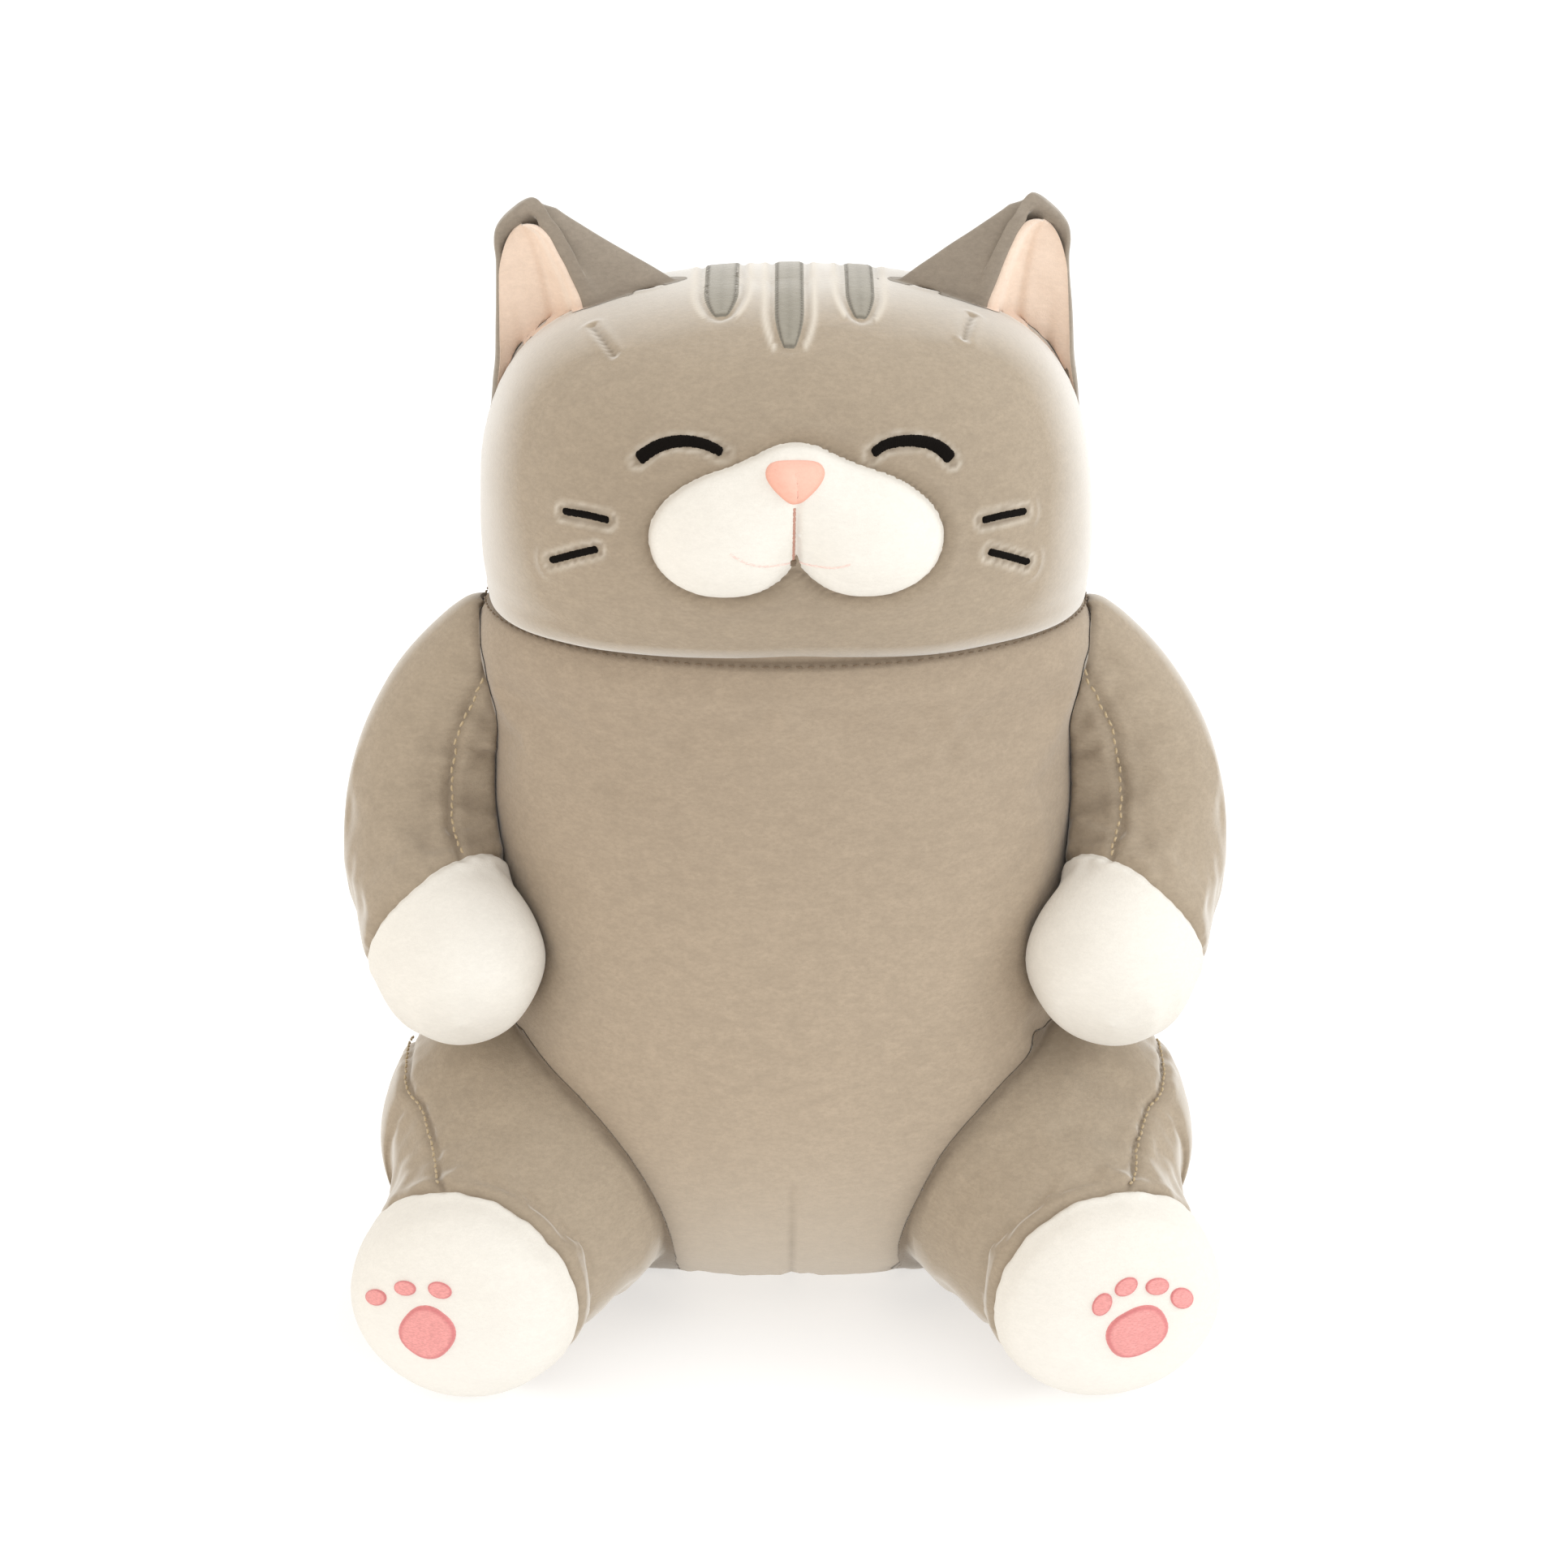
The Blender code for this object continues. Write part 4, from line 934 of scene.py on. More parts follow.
# Round each stripe the head sinks at its edge and rises in a roll just outside it, with a painted highlight
# on the roll
for word, (places, normals) in stripes.items():
    edge = np.concatenate([places[::-1, 0], places[:, -1]])
    middle = places[:, places.shape[1] // 2]
    d_edge, run = near(head.grid, edge, 14 * MM)
    d_middle, _ = near(head.grid, middle, 14 * MM)
    d = d_edge / MM
    outside = d_middle / MM > 5.0
    ring = np.exp(-((d - 2.3) / 1.1) ** 2) * outside
    head.move((-0.6 * np.exp(-(d / 1.1) ** 2) + 0.3 * ring) * MM)
    head.painted_light = np.maximum(head.painted_light, 0.8 * ring)
crown = crown_line(4, -12, 192, 500)
for half in (crown[crown[:, 0] < -46 * MM], crown[crown[:, 0] > 46 * MM]):
    head.seam(half, depth=0.8, pucker=0.2, pitch=6.0, reach=6.0, seed=35, painted_shade=0.3)
nape = np.array(
    [
        list(head_tree.ray_cast(Vector((0, 0, z * MM)), Vector((0, 1, 0)))[0])
        for z in np.linspace(248, 345, 160)
    ]
)
head.seam(nape, depth=1.0, pucker=0.3, pitch=7.0, reach=6.0, seed=37, painted_shade=0.35)
for number, places in enumerate(DARTS):
    line = on_front_line(head_tree, places, 30)
    head.seam(line, depth=1.0, width=1.1, pucker=0.0, seed=40 + number, painted_shade=0.4, roll=0.35)
head_tree = tree_of(head.grid)

# ---------------------------------------------------------------- limbs
def shaped(path, share, turn):
    """A point of a limb's skin: the swept path with the fullness that the filling gives it."""
    place = swept(path, share, turn)
    outer, top = np.cos(turn), np.sin(turn)
    if path is ARM_PATH:
        pressed = np.exp(-((share - 0.38) / 0.22) ** 2) * np.clip(-outer, 0, 1) ** 0.7
        palm = np.exp(-((share - 0.72) / 0.09) ** 2) * np.clip(-outer, 0, 1)
        tip = np.clip((share - 0.74) / 0.26, 0, 1) ** 1.2
        narrow = 3.4 * np.clip(-outer, 0, 1) - 3.0 * np.clip(outer, 0, 1)
        push = -8.0 * pressed - 3.5 * palm + tip * (2.2 + narrow * np.clip((1 - share) / 0.16, 0, 1))
        return place + push[..., None] * np.array([MM, 0.0, 0.0])
    thigh = np.exp(-((share - 0.30) / 0.22) ** 2)
    high = np.tanh((place[..., 2] / MM - 60.0) / 24.0)
    wide = thigh * np.clip(outer, 0, 1) * np.where(high > 0, 2.6, 4.2) * high
    lift = 5.0 * np.clip(top, 0, 1) * np.exp(-((share - 0.24) / 0.18) ** 2)
    return place + np.stack([wide, np.zeros_like(wide), lift], -1) * MM


def limb_seam_line(path, seam, side, count=240):
    rows = rows_at(seam, np.linspace(0, 1, count))
    line = shaped(path, rows[:, 0], np.radians(rows[:, 1]))
    line[:, 0] *= side
    return line


def cuff_lean(cuff, angle):
    outer = np.cos(angle)
    return cuff[1] * (outer - cuff[2] * np.clip(outer, 0, 1) ** 2)


def cuff_line(path, cuff, side, count=300, shift=0.0):
    angle = angles(count)
    line = shaped(path, cuff[0] + cuff_lean(cuff, angle) + shift, angle)
    line[:, 0] *= side
    return np.concatenate([line, line[:1]])


def limb_skin(path, cuff, side, before, beyond, columns, grow, cap, seed):
    """A limb's skin and the number of the ring of its grid that lies on the cuff seam."""

    def point(share, angle):
        return shaped(path, share, angle)

    first = even_shares(point, 0.0, cuff[0], before)
    second = even_shares(point, cuff[0], 1.0, beyond)
    shares = np.concatenate([first, second[1:]])
    angle = angles(columns)
    share, turn = np.meshgrid(shares, angle, indexing="ij")
    lean = cuff_lean(cuff, turn)
    scale = np.where(share < cuff[0], share / cuff[0], (1 - share) / (1 - cuff[0]))
    grid = point(np.clip(share + lean * scale, 0, 1), turn)
    pins = np.zeros(grid.shape[:2])
    pins[before - 1] = 1.0
    pins[:2] = 1.0
    seam_angle = 105 if path is ARM_PATH else 45
    for target in (seam_angle, seam_angle - 180):
        gap = np.abs((np.degrees(angle) - target + 180) % 360 - 180)
        pins[: before, gap < 180 / columns * 1.01] = 1.0
    grid = stuffed(grid, pins, grow=grow, cap=cap)
    grid = grid.copy()
    grid[..., 0] *= side
    skin = Skin(refined(grid, DETAIL))
    skin.soften(38.0, 0.9, seed)
    return skin, (before - 1) * DETAIL


arms, legs = {}, {}
for word, side in SIDES:
    seed = 50 + 10 * side
    arm, ring = limb_skin(ARM_PATH, ARM_CUFF, side, 27, 15, 34, 0.03, 1.7, seed)
    front = limb_seam_line(ARM_PATH, ARM_SEAM, side)
    arm.seam(
        front, depth=1.5, width=1.8, pucker=2.6, pitch=14.0, reach=11.0, seed=seed + 1, painted_shade=0.55, roll=0.5,
    )
    # Gathers between the front seam and the body, with painted shade in their valleys
    away, along = near(arm.grid, front, 30 * MM)
    inward = np.clip(-arm.normals[..., 0] * side + 0.15, 0, 1)
    gathers = 0.5 + 0.5 * np.cos(2 * math.pi * along / (15.5 * MM) + 1.6 * lumps(arm.grid, 26 * MM, seed + 9))
    valley = gathers ** 2 * np.exp(-((away / MM - 6.0) / 9.0) ** 2) * inward
    arm.move(-2.1 * MM * valley)
    arm.painted_shade = np.maximum(arm.painted_shade, 0.34 * valley)
    rear = shaped(ARM_PATH, np.linspace(0.08, 0.60, 200), np.full(200, -math.pi / 2))
    rear[:, 0] *= side
    arm.seam(rear, depth=1.3, pucker=1.0, pitch=12.0, reach=8.0, seed=seed + 2, painted_shade=0.4)
    cuff = cuff_line(ARM_PATH, ARM_CUFF, side)
    arm.seam(cuff, depth=1.2, width=1.6, pucker=0.45, pitch=6.5, reach=5.0, seed=seed + 3, painted_shade=0.3, roll=0.3)
    # Painted shade where the arm lies on the body
    arm.grid, touch = rest_against(arm.grid, torso_tree, inside_torso, soft=0.8)
    arm.painted_shade = np.maximum(arm.painted_shade, 0.55 * touch)
    arms[word] = (arm, ring, front)

    leg, ring = limb_skin(LEG_PATH, LEG_CUFF, side, 25, 14, 44, 0.012, 1.5, seed + 4)
    outer = limb_seam_line(LEG_PATH, LEG_SEAM, side)
    leg.seam(
        outer, depth=1.4, width=1.9, pucker=1.0, pitch=12.0, reach=9.0, seed=seed + 5, painted_shade=0.45, roll=0.4,
    )
    inner = shaped(LEG_PATH, np.linspace(0.15, 0.66, 200), np.full(200, math.radians(-140.0)))
    inner[:, 0] *= side
    leg.seam(inner, depth=1.3, pucker=0.8, pitch=12.0, reach=8.0, seed=seed + 6, painted_shade=0.4)
    cuff = cuff_line(LEG_PATH, LEG_CUFF, side)
    leg.seam(cuff, depth=1.4, width=1.7, pucker=0.4, pitch=7.0, reach=5.0, seed=seed + 7, painted_shade=0.4, roll=0.3)
    leg_side = near(leg.grid, cuff_line(LEG_PATH, LEG_CUFF, side, shift=-0.035), 40 * MM)
    folds = np.cos(2 * math.pi * leg_side[1] / (17 * MM) + 2.5 * lumps(leg.grid, 30 * MM, seed))
    share_on_top = np.clip((leg.normals[..., 2] - 0.15) / 0.5, 0, 1)
    leg.move(-1.0 * MM * (0.5 + 0.5 * folds) * np.exp(-(leg_side[0] / (13 * MM)) ** 2) * share_on_top)
    # Painted shade where the leg lies on the body, and painted light low on its front
    leg.grid, touch = rest_against(leg.grid, torso_tree, inside_torso, soft=1.0)
    leg.painted_shade = np.maximum(leg.painted_shade, 0.6 * touch)
    low = 1 / (1 + np.exp((leg.grid[..., 2] / MM - 34.0) / 9.0))
    leg.painted_light = np.maximum(leg.painted_light, 0.30 * low * np.clip(-leg.normals[..., 1], 0, 1))
    leg.grid[..., 2] = np.maximum(leg.grid[..., 2], 0.2 * MM)
    legs[word] = (leg, ring, outer)

# ---------------------------------------------------------------- tail
tail_grid = ring_grid(
    lambda share, angle: swept(TAIL_PATH, share, angle),
    even_shares(lambda s, a: swept(TAIL_PATH, s, a), 0.0, 1.0, 22), 40,
)
tail = Skin(refined(tail_grid, 3))
tail.soften(24.0, 0.7, 71)
for angle in (-90.0, 90.0):
    line = swept(TAIL_PATH, np.linspace(0.1, 0.98, 160), np.full(160, math.radians(angle)))
    tail.seam(line, depth=1.1, pucker=0.7, pitch=8.0, reach=6.0, seed=73)
tail.grid, _ = rest_against(tail.grid, torso_tree, inside_torso)

# Painted shade on the body where the limbs lie on it
for grid, reach in [(arms[w][0].grid, 3.0) for w, _ in SIDES] + [(legs[w][0].grid, 3.5) for w, _ in SIDES]:
    tree = tree_of(grid)
    flat = torso.grid.reshape(-1, 3)
    values = torso.painted_shade.reshape(-1).copy()
    box = np.nonzero(
        np.all(
            (flat > grid.reshape(-1, 3).min(0) - 0.008) & (flat < grid.reshape(-1, 3).max(0) + 0.008),
            axis=1,
        )
    )[0]
    for index in box:
        found = tree.find_nearest(Vector(flat[index]), 8 * MM)[3]
        if found is not None:
            values[index] = max(values[index], 0.27 * math.exp(-(found / MM / reach) ** 1.5))
    torso.painted_shade = values.reshape(torso.painted_shade.shape)

# ---------------------------------------------------------------- sewn pieces of the body
torso_nodes = ("body_front_panel", "body_back_panel", "seat_panel", "body_filling", "seat_bead_bag")
finish_piece(
    skin_piece("torso_skin", torso, cap_start=True, cap_end=True), grey, "torso", torso_nodes,
)
head_nodes = ("head_front_panel", "head_back_panel", "head_filling")
finish_piece(
    skin_piece("head_skin", head, cap_start=True, cap_end=True), head_grey, "head",
    head_nodes,
)

for word, side in SIDES:
    for kind, (skin, ring, line), tip in (("arm", arms[word], "mitt"), ("leg", legs[word], "foot")):
        rows, columns = skin.grid.shape[:2]
        upper = np.zeros((rows - 1, columns), bool)
        upper[:ring] = True
        panels = ("outer_panel", "inner_panel") if kind == "arm" else ("upper_panel", "lower_panel")
        nodes = [f"{kind}_{panel}_{word}" for panel in panels] + [f"{kind}_filling_{word}"]
        if kind == "arm":
            bend = ("torso", (side * 0.097, 0.003, 0.234), (side * 0.122, -0.001, 0.190))
        else:
            bend = ("torso", (side * 0.100, -0.004, 0.05), (side * 0.100, -0.070, 0.05))
        body = f"{kind}_{word}"
        item = skin_piece(f"{kind}_skin_{word}", skin, upper, cap_start=True)
        finish_piece(item, limb_grey, body, nodes, bend=bend)
        item = skin_piece(f"{tip}_skin_{word}", skin, ~upper, cap_end=True)
        finish_piece(item, white, body, (f"{tip}_{word}",))
        tree = tree_of(skin.grid)
        stitches(
            f"{kind}_seam_stitches_{word}", tree, line[24:-6], 3.3, 2.3, 0.48, pale_thread, body,
            lift=-0.5, slant=0.12, bend=bend,
        )

item = skin_piece("tail_skin", tail, cap_start=True, cap_end=True)
finish_piece(
    item, limb_grey, "tail", ("tail_panel_left", "tail_panel_right", "tail_filling"),
    bend=("torso", (0, 0.094, 0.028), (0, 0.122, 0.028)),
)

neck_stitch_line = torso_point(np.full(600, NECK_STITCH_SHARE), np.linspace(-math.pi, math.pi, 600))
stitches(
    "neck_stitches", torso_tree, neck_stitch_line, 3.8, 2.2, 0.4, seam_thread, "torso",
    lift=-1.6, slant=0.1,
)

# ---------------------------------------------------------------- muzzle, nose and mouth
outline_mm = np.array(
    [(x - FACE_X, z - MUZZLE_Z) for x, z in loop_at(muzzle_loop, np.linspace(0, 1, 400, endpoint=False))]
)


def muzzle_height(x, z):
    """How far the muzzle stands out at a place on it, in mm."""
    edge = math.sqrt(((outline_mm - (x, z)) ** 2).sum(1).min())
    rise = 1 - (1 - min(edge / 21.0, 1.0)) ** 2.6
    low = 1 / (1 + math.exp((z - 8.0) / 4.0))
    pinch = 2.4 * math.exp(
        -(x / 1.5) ** 2
    ) * low + 2.6 * math.exp(-(x / 7.5) ** 2) * low * min(edge / 6.0, 1.0)
    lobes = 1.2 * math.exp(-((abs(x) - 24.0) / 16.0) ** 2) * min(edge / 12.0, 1.0)
    return -0.9 + (MUZZLE_PUFF + 0.6) * rise + lobes - pinch * min(edge / 2.5, 1.0)


def on_muzzle_base(x, z, level):
    place, normal = on_front(head_tree, FACE_X + x, MUZZLE_Z + z)
    direction = (normal * 0.35 + Vector((0, -1, 0)) * 0.65).normalized()
    upper = place + direction * muzzle_height(x, z) * MM
    return upper, place - direction * 1.2 * MM


muzzle_outline = [(x - FACE_X, z - MUZZLE_Z) for x, z in muzzle_loop]
points, faces, level = patch(muzzle_outline, on_muzzle_base, rings=44, corners=220)
points += np.array([0, -1, 0]) * (0.35 * MM * lumps(points, 16 * MM, 81) * (level < 0.93))[:, None]
# Painted shade round the muzzle's edge
painted_shade = 0.30 * np.clip((level - 0.93) / 0.07, 0, 1)
muzzle = make_mesh("muzzle_skin", points, faces, painted_shade=painted_shade)
finish_piece(muzzle, white, "head", ("muzzle_panel", "muzzle_filling"))
muzzle_tree = BVHTree.FromPolygons([Vector(p) for p in points], [tuple(int(v) for v in f) for f in faces])


def on_nose(x, z, level):
    place, normal = on_front(muzzle_tree, NOSE_CENTRE[0] + x, NOSE_CENTRE[1] + z)
    rise = -0.5 + 3.3 * (1 - level ** 3.2) + 0.5 * level
    return place + normal * rise * MM, place - normal * 1.0 * MM


points, faces, level = patch(NOSE_OUTLINE, on_nose, rings=24, corners=120)
# Painted shade round the nose's edge and a painted highlight over its middle
painted_shade = 0.55 * np.clip((level - 0.80) / 0.2, 0, 1) ** 1.5
painted_light = 0.35 * np.clip(1 - level / 0.75, 0, 1)
nose = make_mesh("nose_patch", points, faces, painted_light, painted_shade)
finish_piece(nose, pink_plush, "head", ("nose",))

satin(
    "mouth_line_thread", muzzle_tree, MOUTH_LINE, 0.9, line_thread, "head", "mouth_line", height=0.35,
    pitch=1.6,
)
satin(
    "smile_thread_right", muzzle_tree, SMILE_RIGHT, 0.85, smile_thread, "head", "mouth_smile", height=0.22,
    pitch=1.4,
)
satin(
    "smile_thread_left", muzzle_tree, SMILE_LEFT, 0.85, smile_thread, "head", None, height=0.22, pitch=1.4,
)
satin(
    "mouth_knot", muzzle_tree, ((2.5, 288.0), (2.5, 287.0), (2.5, 286.0), (2.5, 285.2)), 2.2, seam_thread,
    "head", None, height=1.1, pitch=0.9,
)

for word, line in EYES.items():
    satin(
        f"eye_satin_{word}", head_tree, line, 4.1, black_thread, "head", f"eye_{word}", height=1.2,
        swell=(1.08, 0.72), blunt=0.5,
    )
for name, line in WHISKERS.items():
    satin(
        f"whisker_satin_{name}", head_tree, line, 2.5, black_thread, "head", f"whisker_{name}", height=1.0,
        blunt=0.5,
    )

# ---------------------------------------------------------------- stripes
for word, x, tip_z, half in STRIPES:
    places, normals = stripe_places(x, tip_z, half, rows=170, columns=33, grow=-0.2)
    rows, columns = places.shape[:2]
    v = np.abs(np.linspace(-1, 1, columns))[None, :]
    u = np.linspace(0, 1, rows)[:, None]
    end = np.clip(np.minimum(u, 1 - u) * rows / 9.0, 0, 1)
    edge = 1 - np.maximum(v, 1 - end)
    rise = -0.9 + 1.35 * (1 - (1 - np.clip(edge / 0.42, 0, 1)) ** 2.4)
    sewn = np.exp(-((edge - 0.30) / 0.075) ** 2)
    run = u * rows * 0.75
    rise = rise - 0.45 * sewn * (0.6 + 0.4 * np.cos(2 * math.pi * run / 2.2))
    top = places + normals * (rise * MM)[..., None]
    under = places - normals * (1.3 * MM)
    total = rows * columns
    # Painted shade along the stitched line and the edge of the stripe, and a painted highlight along its
    # raised middle
    painted_shade = np.concatenate([(0.55 * sewn + 0.5 * np.exp(-(edge / 0.09) ** 2)).ravel(), np.zeros(total)])
    painted_light = np.concatenate(
        [(0.30 * np.exp(-((edge - 0.62) / 0.3) ** 2) * np.ones_like(edge)).ravel(), np.zeros(total)]
    )
    points = np.concatenate([top.reshape(-1, 3), under.reshape(-1, 3)])
    stripe = make_mesh(f"stripe_patch_{word}", points, sheet_faces(rows, columns), painted_light, painted_shade)
    finish_piece(stripe, dark_grey, "head", (f"forehead_stripe_{word}",))

# ---------------------------------------------------------------- ears
def ear_place(across, height, depth, side):
    """A point of an ear: share across its width at a height, and depth to the back, in mm."""
    width = rows_at(EAR_ROWS, ear_share(height))[..., 1]
    tip = EAR_TIP_ALONG[side]
    along = tip + (across - tip / EAR_WIDTH) * EAR_WIDTH * width
    place = EAR_OUTER_BASE + along[..., None] * EAR_CHORD + height[..., None] * EAR_UP
    place = place + depth[..., None] * np.array([0.0, 1.0, 0.0])
    place = place * np.array([side, 1.0, 1.0])
    return place * MM


def ear_share(height):
    heights = rows_at(EAR_ROWS, np.linspace(0, 1, 600))[:, 0]
    return np.interp(height, heights, np.linspace(0, 1, 600))


def ear_fold(height):
    """Share of the ear's width at which its inner edge folds over, wider towards the tip."""
    return EAR_FOLD - 0.02 + 0.16 * min(max(height, 0.0) / 42, 1.0) ** 1.3


def ear_shell(side):
    """The grey back of an ear, as rings from below its base to its tip round back, fold and rim."""
    heights = np.concatenate(
        [np.linspace(-12, 40, 62), 40 + 10.0 * np.sin(np.linspace(0, 1, 26)[1:] * math.pi / 2)]
    )
    grid = np.zeros((len(heights), 160, 3))
    for i, height in enumerate(heights):
        _, width, front, back = rows_at(EAR_ROWS, ear_share(height))
        size = max(EAR_WIDTH * width, 1.0)
        thin = min(1.0, 16.0 / size)
        fold = ear_fold(height)
        lip = min(3.2 / size, 0.11)
        deep = min(max(1.0 - 0.9 * height / 44, 0.0), 1.0)
        plain = min(max((height - 41) / 8, 0.0), 1.0) ** 1.2
        ring = [
            (0.0, 0.5), (
                0.05 + 0.05 * thin, 0.62 * back,
            ), (0.22, 0.90 * back), (0.45, back), (0.68, 0.97 * back),
            (0.86, 0.72 * back), (0.96, 0.38 * back), (1.0, -0.02 * front), (0.965, -0.36 * front),
            (0.88, -0.66 * front), (0.76, -0.92 * front), (fold + 1.6 * lip, -1.10 * front),
            (fold + 0.5 * lip, -1.14 * front), (fold, -1.0 * front), (fold + 0.15 * lip, -0.72 * front),
            (
                fold - 0.02, -0.30 * front * (1 - 0.6 * deep),
            ), (0.42, 0.10 * back * deep), (0.22, 0.05 * back * deep),
            (0.12, -0.18 * front), (0.055, -0.42 * front), (0.012, -0.34 * front),
        ]
        loop = loop_at(ring, np.arange(160) / 160)
        turn = 2 * math.pi * np.arange(160) / 160
        oval_loop = np.stack(
            [0.5 - 0.5 * np.cos(turn), np.where(np.sin(turn) > 0, back, front) * np.sin(turn)], 1,
        )
        loop = loop * (1 - plain) + oval_loop * plain
        grid[i] = ear_place(loop[:, 0], np.full(160, height), loop[:, 1], side)
    return grid


def lining_grid(side, seed):
    """The peach lining, set between the rim and the fold, with pleats that run up from its base."""
    rows, columns = 90, 70
    grid = np.zeros((rows, columns, 3))
    heights = -12 + 56.4 * np.linspace(0, 1, rows) ** 0.9
    for i, height in enumerate(heights):
        _, width, front, back = rows_at(EAR_ROWS, ear_share(height))
        size = max(EAR_WIDTH * width, 1.0)
        fold = ear_fold(height)
        s = np.linspace(0, 1, columns)
        across = 0.035 + (fold - 0.028 + min(1.4 / size, 0.05)) * s
        narrow = math.sqrt(max(1 - max((height - 34.5) / 10.2, 0.0) ** 2, 0.004))
        across = 0.42 * fold + 0.16 + (across - 0.42 * fold - 0.16) * narrow
        deep = max(1.0 - 0.75 * max(height, 0) / 46, 0.12)
        hollow = -0.46 * front + (0.46 * front + 0.18 * back) * np.sin(math.pi * s ** 0.9) ** 0.75 * deep
        rise = (
            -0.55 * front * np.exp(-((s - 0.90) / 0.10) ** 2)
            - 0.25 * front * np.clip((s - 0.8) / 0.2, 0, 1)
        )
        pleat = (
            1.5 * np.exp(-((s - 0.60 - 0.10 * height / 40) / 0.07) ** 2)
            * math.exp(-((height - 20) / 17) ** 2)
        )
        second = (
            1.1 * np.exp(-((s - 0.30 + 0.12 * height / 40) / 0.08) ** 2)
            * math.exp(-((height - 10) / 10) ** 2)
        )
        depth = hollow + rise + pleat + second - 0.9
        grid[i] = ear_place(across, np.full(columns, height), depth, side)
    wave = lumps(grid, 9 * MM, seed) * 0.7 + lumps(grid, 22 * MM, seed + 2) * 0.8
    return grid + np.array([0.0, 1.0, 0.0]) * (0.9 * MM * wave)[..., None]


head_inside = Vector((0, 0, 290 * MM))
for word, side in SIDES:
    shell = Skin(ear_shell(side))
    shell.soften(18.0, 0.55, 91 + side)
    shell.grid, touch = rest_against(shell.grid, head_tree, head_inside, clearance=0.1, soft=1.2)
    # Painted shade where the ear's back lies on the head
    shell.painted_shade = np.maximum(shell.painted_shade, 0.22 * touch)
    base = EAR_OUTER_BASE + 0.5 * EAR_WIDTH * EAR_CHORD
    start = (base * (side, 1, 1) * MM).tolist()
    end = ((base + 13 * EAR_UP) * (side, 1, 1) * MM).tolist()
    bend = ("head", start, end)
    body = f"ear_{word}"
    item = skin_piece(f"ear_shell_{word}", shell, cap_start=True, cap_end=True)
    finish_piece(item, ear_grey, body, (f"ear_back_panel_{word}",), bend=bend)

    grid = lining_grid(side, 95 + side)
    top, touch = rest_against(grid, head_tree, head_inside, clearance=0.25, soft=1.0)
    rows, columns = top.shape[:2]
    back = top + np.array([0.0, 1.3 * MM, 0.0])
    # Painted shade where the lining lies on the head
    painted_shade = np.concatenate([0.2 * touch.ravel(), np.zeros(rows * columns)])
    points = np.concatenate([top.reshape(-1, 3), back.reshape(-1, 3)])
    lining = make_mesh(f"ear_lining_skin_{word}", points, sheet_faces(rows, columns), painted_shade=painted_shade)
    finish_piece(lining, peach, body, (f"ear_lining_{word}",), bend=bend)


# ---------------------------------------------------------------- paw prints
for word, side in SIDES:
    leg = legs[word][0]
    foot_tree = tree_of(leg.grid)
    x0, _, z0 = LEG_PATH[-1][:3]
    for number, (dx, dz, half_x, half_z, turn) in enumerate(PADS[word]):
        small = number > 0
        name = f"toe_pad_{number}" if small else "paw_pad"

        def placed(x, z, level, dx=dx, dz=dz, small=small):
            place, normal = on_front(foot_tree, side * (x0 + dx + x), z0 + dz + z)
            ridge = 0.10 * abs(math.sin(math.pi * (x * 0.5 + z) / 0.75))
            border = 0.35 * math.exp(-((level - 0.88) / 0.07) ** 2)
            rise = -0.35 + (1.0 if small else 1.25) * (
                1 - max(level - 0.72, 0) ** 2 / 0.0784
            ) + border + ridge
            return place + normal * rise * MM, place - normal * 0.9 * MM

        points, faces, level = patch(
            oval(half_x, half_z, turn, 28, 2.0 if small else 2.4), placed,
            rings=14 if small else 22, corners=60 if small else 110,
        )
        # Painted shade round the pad's edge
        painted_shade = 0.62 * np.exp(-((level - 0.90) / 0.075) ** 2)
        pad = make_mesh(f"{name}_embroidery_{word}", points, faces, painted_shade=painted_shade)
        finish_piece(pad, pink_thread, f"leg_{word}", (f"{name}_{word}",))

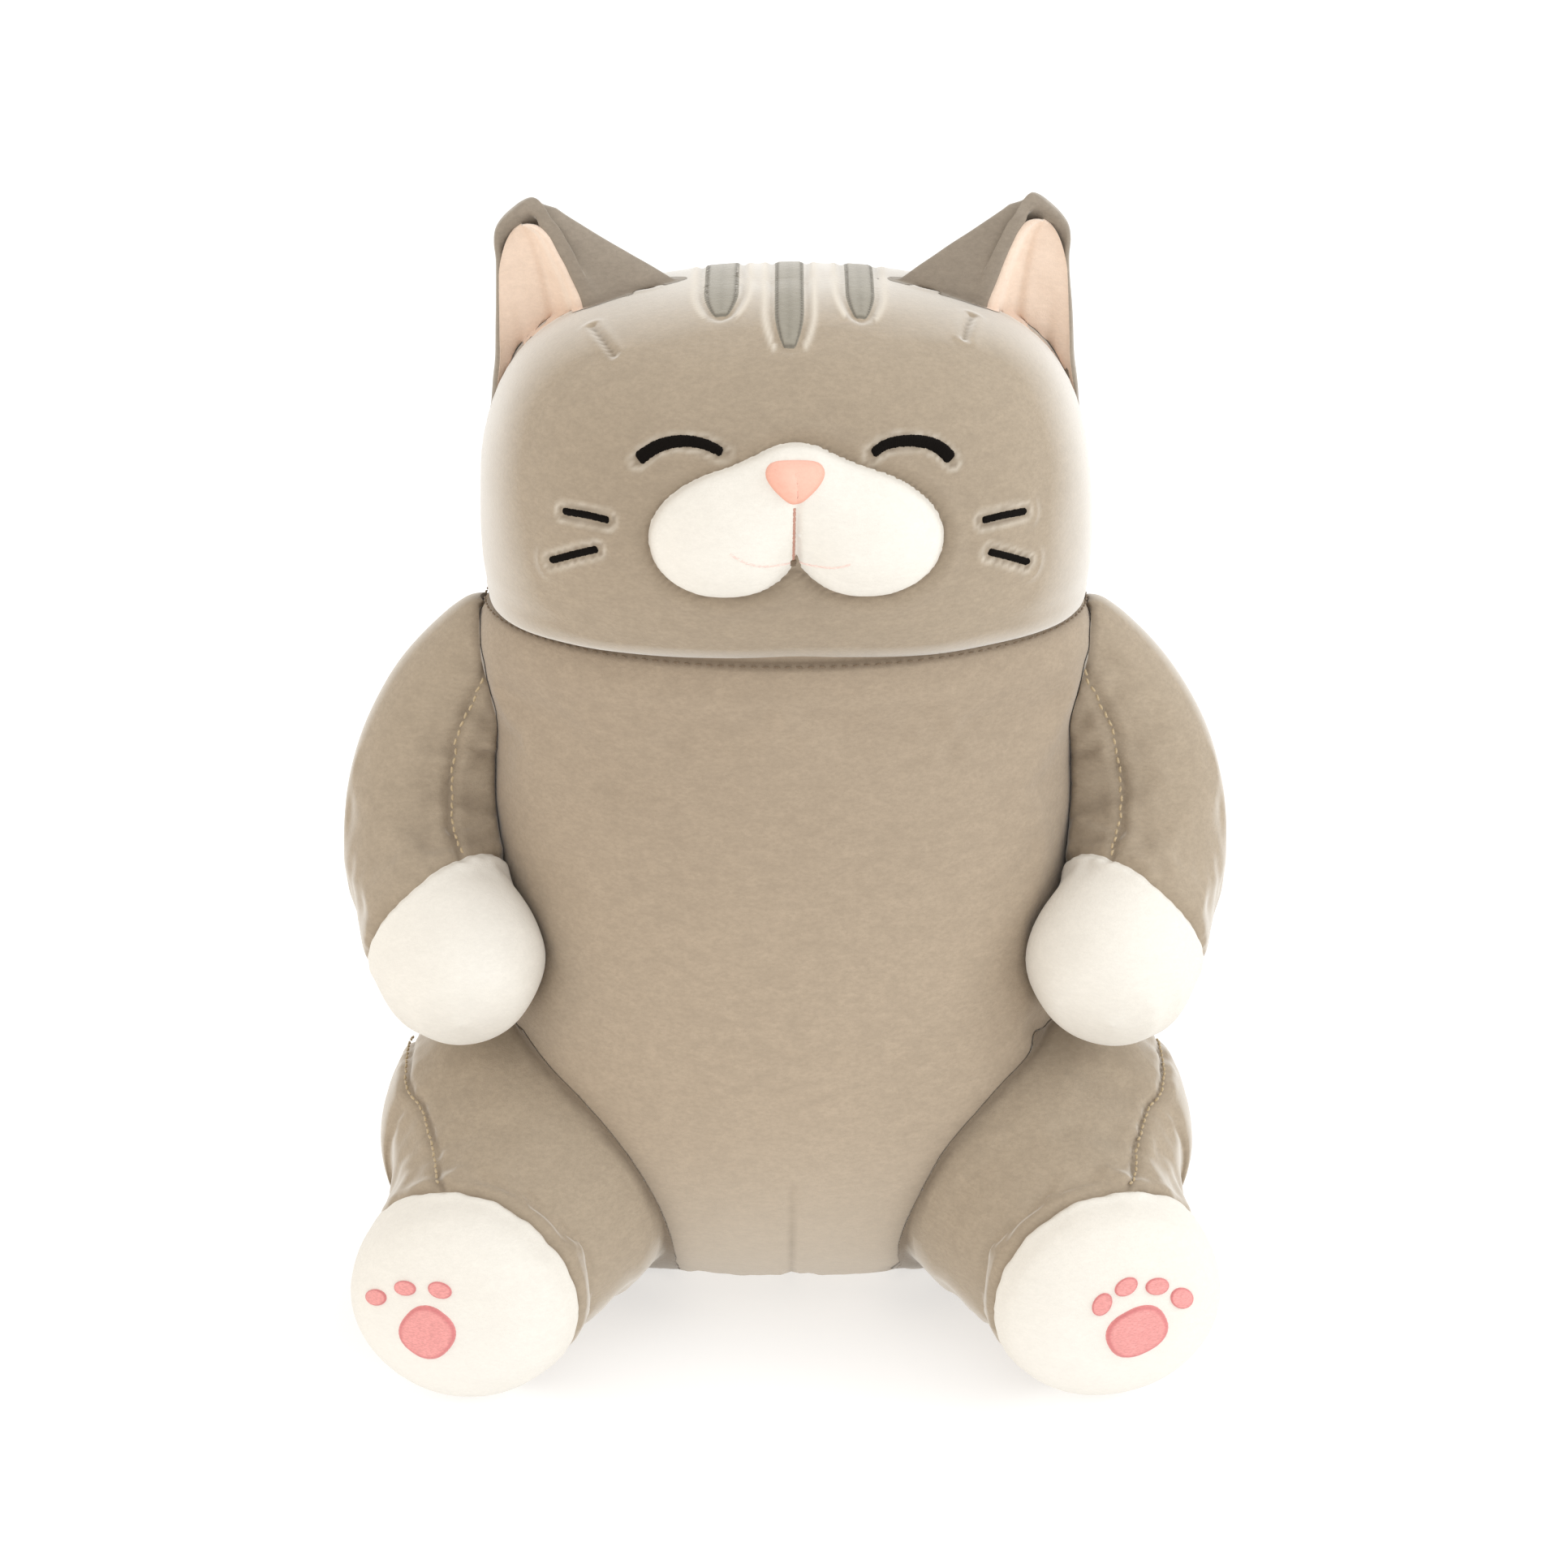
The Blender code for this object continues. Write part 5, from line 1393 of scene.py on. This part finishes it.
# ---------------------------------------------------------------- floor, light and camera
FLOOR_DROP = 0.4 * MM
bpy.ops.mesh.primitive_plane_add(size=14.0, location=(0, 0, -FLOOR_DROP))
floor = bpy.context.object
floor.name = "studio_floor"
n = Nodes("studio_floor_looks")
n.shader.inputs["Base Color"].default_value = (0.52, 0.515, 0.51, 1.0)
n.shader.inputs["Roughness"].default_value = 0.9
n.shader.inputs["Specular IOR Level"].default_value = 0.0
# a light table, so shadows stay faint
n.shader.inputs["Emission Color"].default_value = (1.0, 0.995, 0.985, 1.0)
n.shader.inputs["Emission Strength"].default_value = 0.60
floor.data.materials.append(n.material)

world = bpy.data.worlds.new("studio")
bpy.context.scene.world = world
world.use_nodes = True
background = world.node_tree.nodes["Background"]
background.inputs["Color"].default_value = (1.0, 0.992, 0.98, 1.0)
background.inputs["Strength"].default_value = 1.02


def softbox(name, place, target, size, power, colour):
    data = bpy.data.lights.new(name, "AREA")
    data.shape = "RECTANGLE"
    data.size, data.size_y = size
    data.energy = power
    data.color = colour
    item = bpy.data.objects.new(name, data)
    item.location = place
    item.rotation_mode = "QUATERNION"
    item.rotation_quaternion = (Vector(target) - Vector(place)).to_track_quat("-Z", "Y")
    bpy.context.scene.collection.objects.link(item)
    item.visible_camera = False


softbox("key", (1.9, -0.5, 1.1), (0, 0, 0.2), (1.1, 1.1), 13.0, (0.96, 0.985, 1.0))
softbox("fill", (-1.7, -0.6, 0.7), (0, 0, 0.2), (1.2, 1.2), 4.5, (1.0, 0.80, 0.55))
softbox("top", (0.5, 0.6, 1.9), (0, 0, 0.25), (1.2, 1.2), 6.0, (1.0, 0.99, 0.96))
softbox("low_front", (0.3, -2.2, 0.12), (0, 0, 0.05), (1.6, 0.2), 5.0, (1.0, 0.97, 0.93))

CAMERA_PLACE = (-0.6 * MM, -1.5975, 0.7581)
CAMERA_TARGET = (-0.6 * MM, 0.0, 0.1767)
camera = bpy.data.objects.new("camera", bpy.data.cameras.new("camera"))
camera.data.lens = 111.54
camera.data.sensor_width = 36.0
camera.location = CAMERA_PLACE
camera.rotation_mode = "QUATERNION"
camera.rotation_quaternion = (Vector(CAMERA_TARGET) - Vector(CAMERA_PLACE)).to_track_quat("-Z", "Y")
bpy.context.scene.collection.objects.link(camera)
bpy.context.scene.camera = camera
bpy.context.scene.view_settings.view_transform = "Standard"
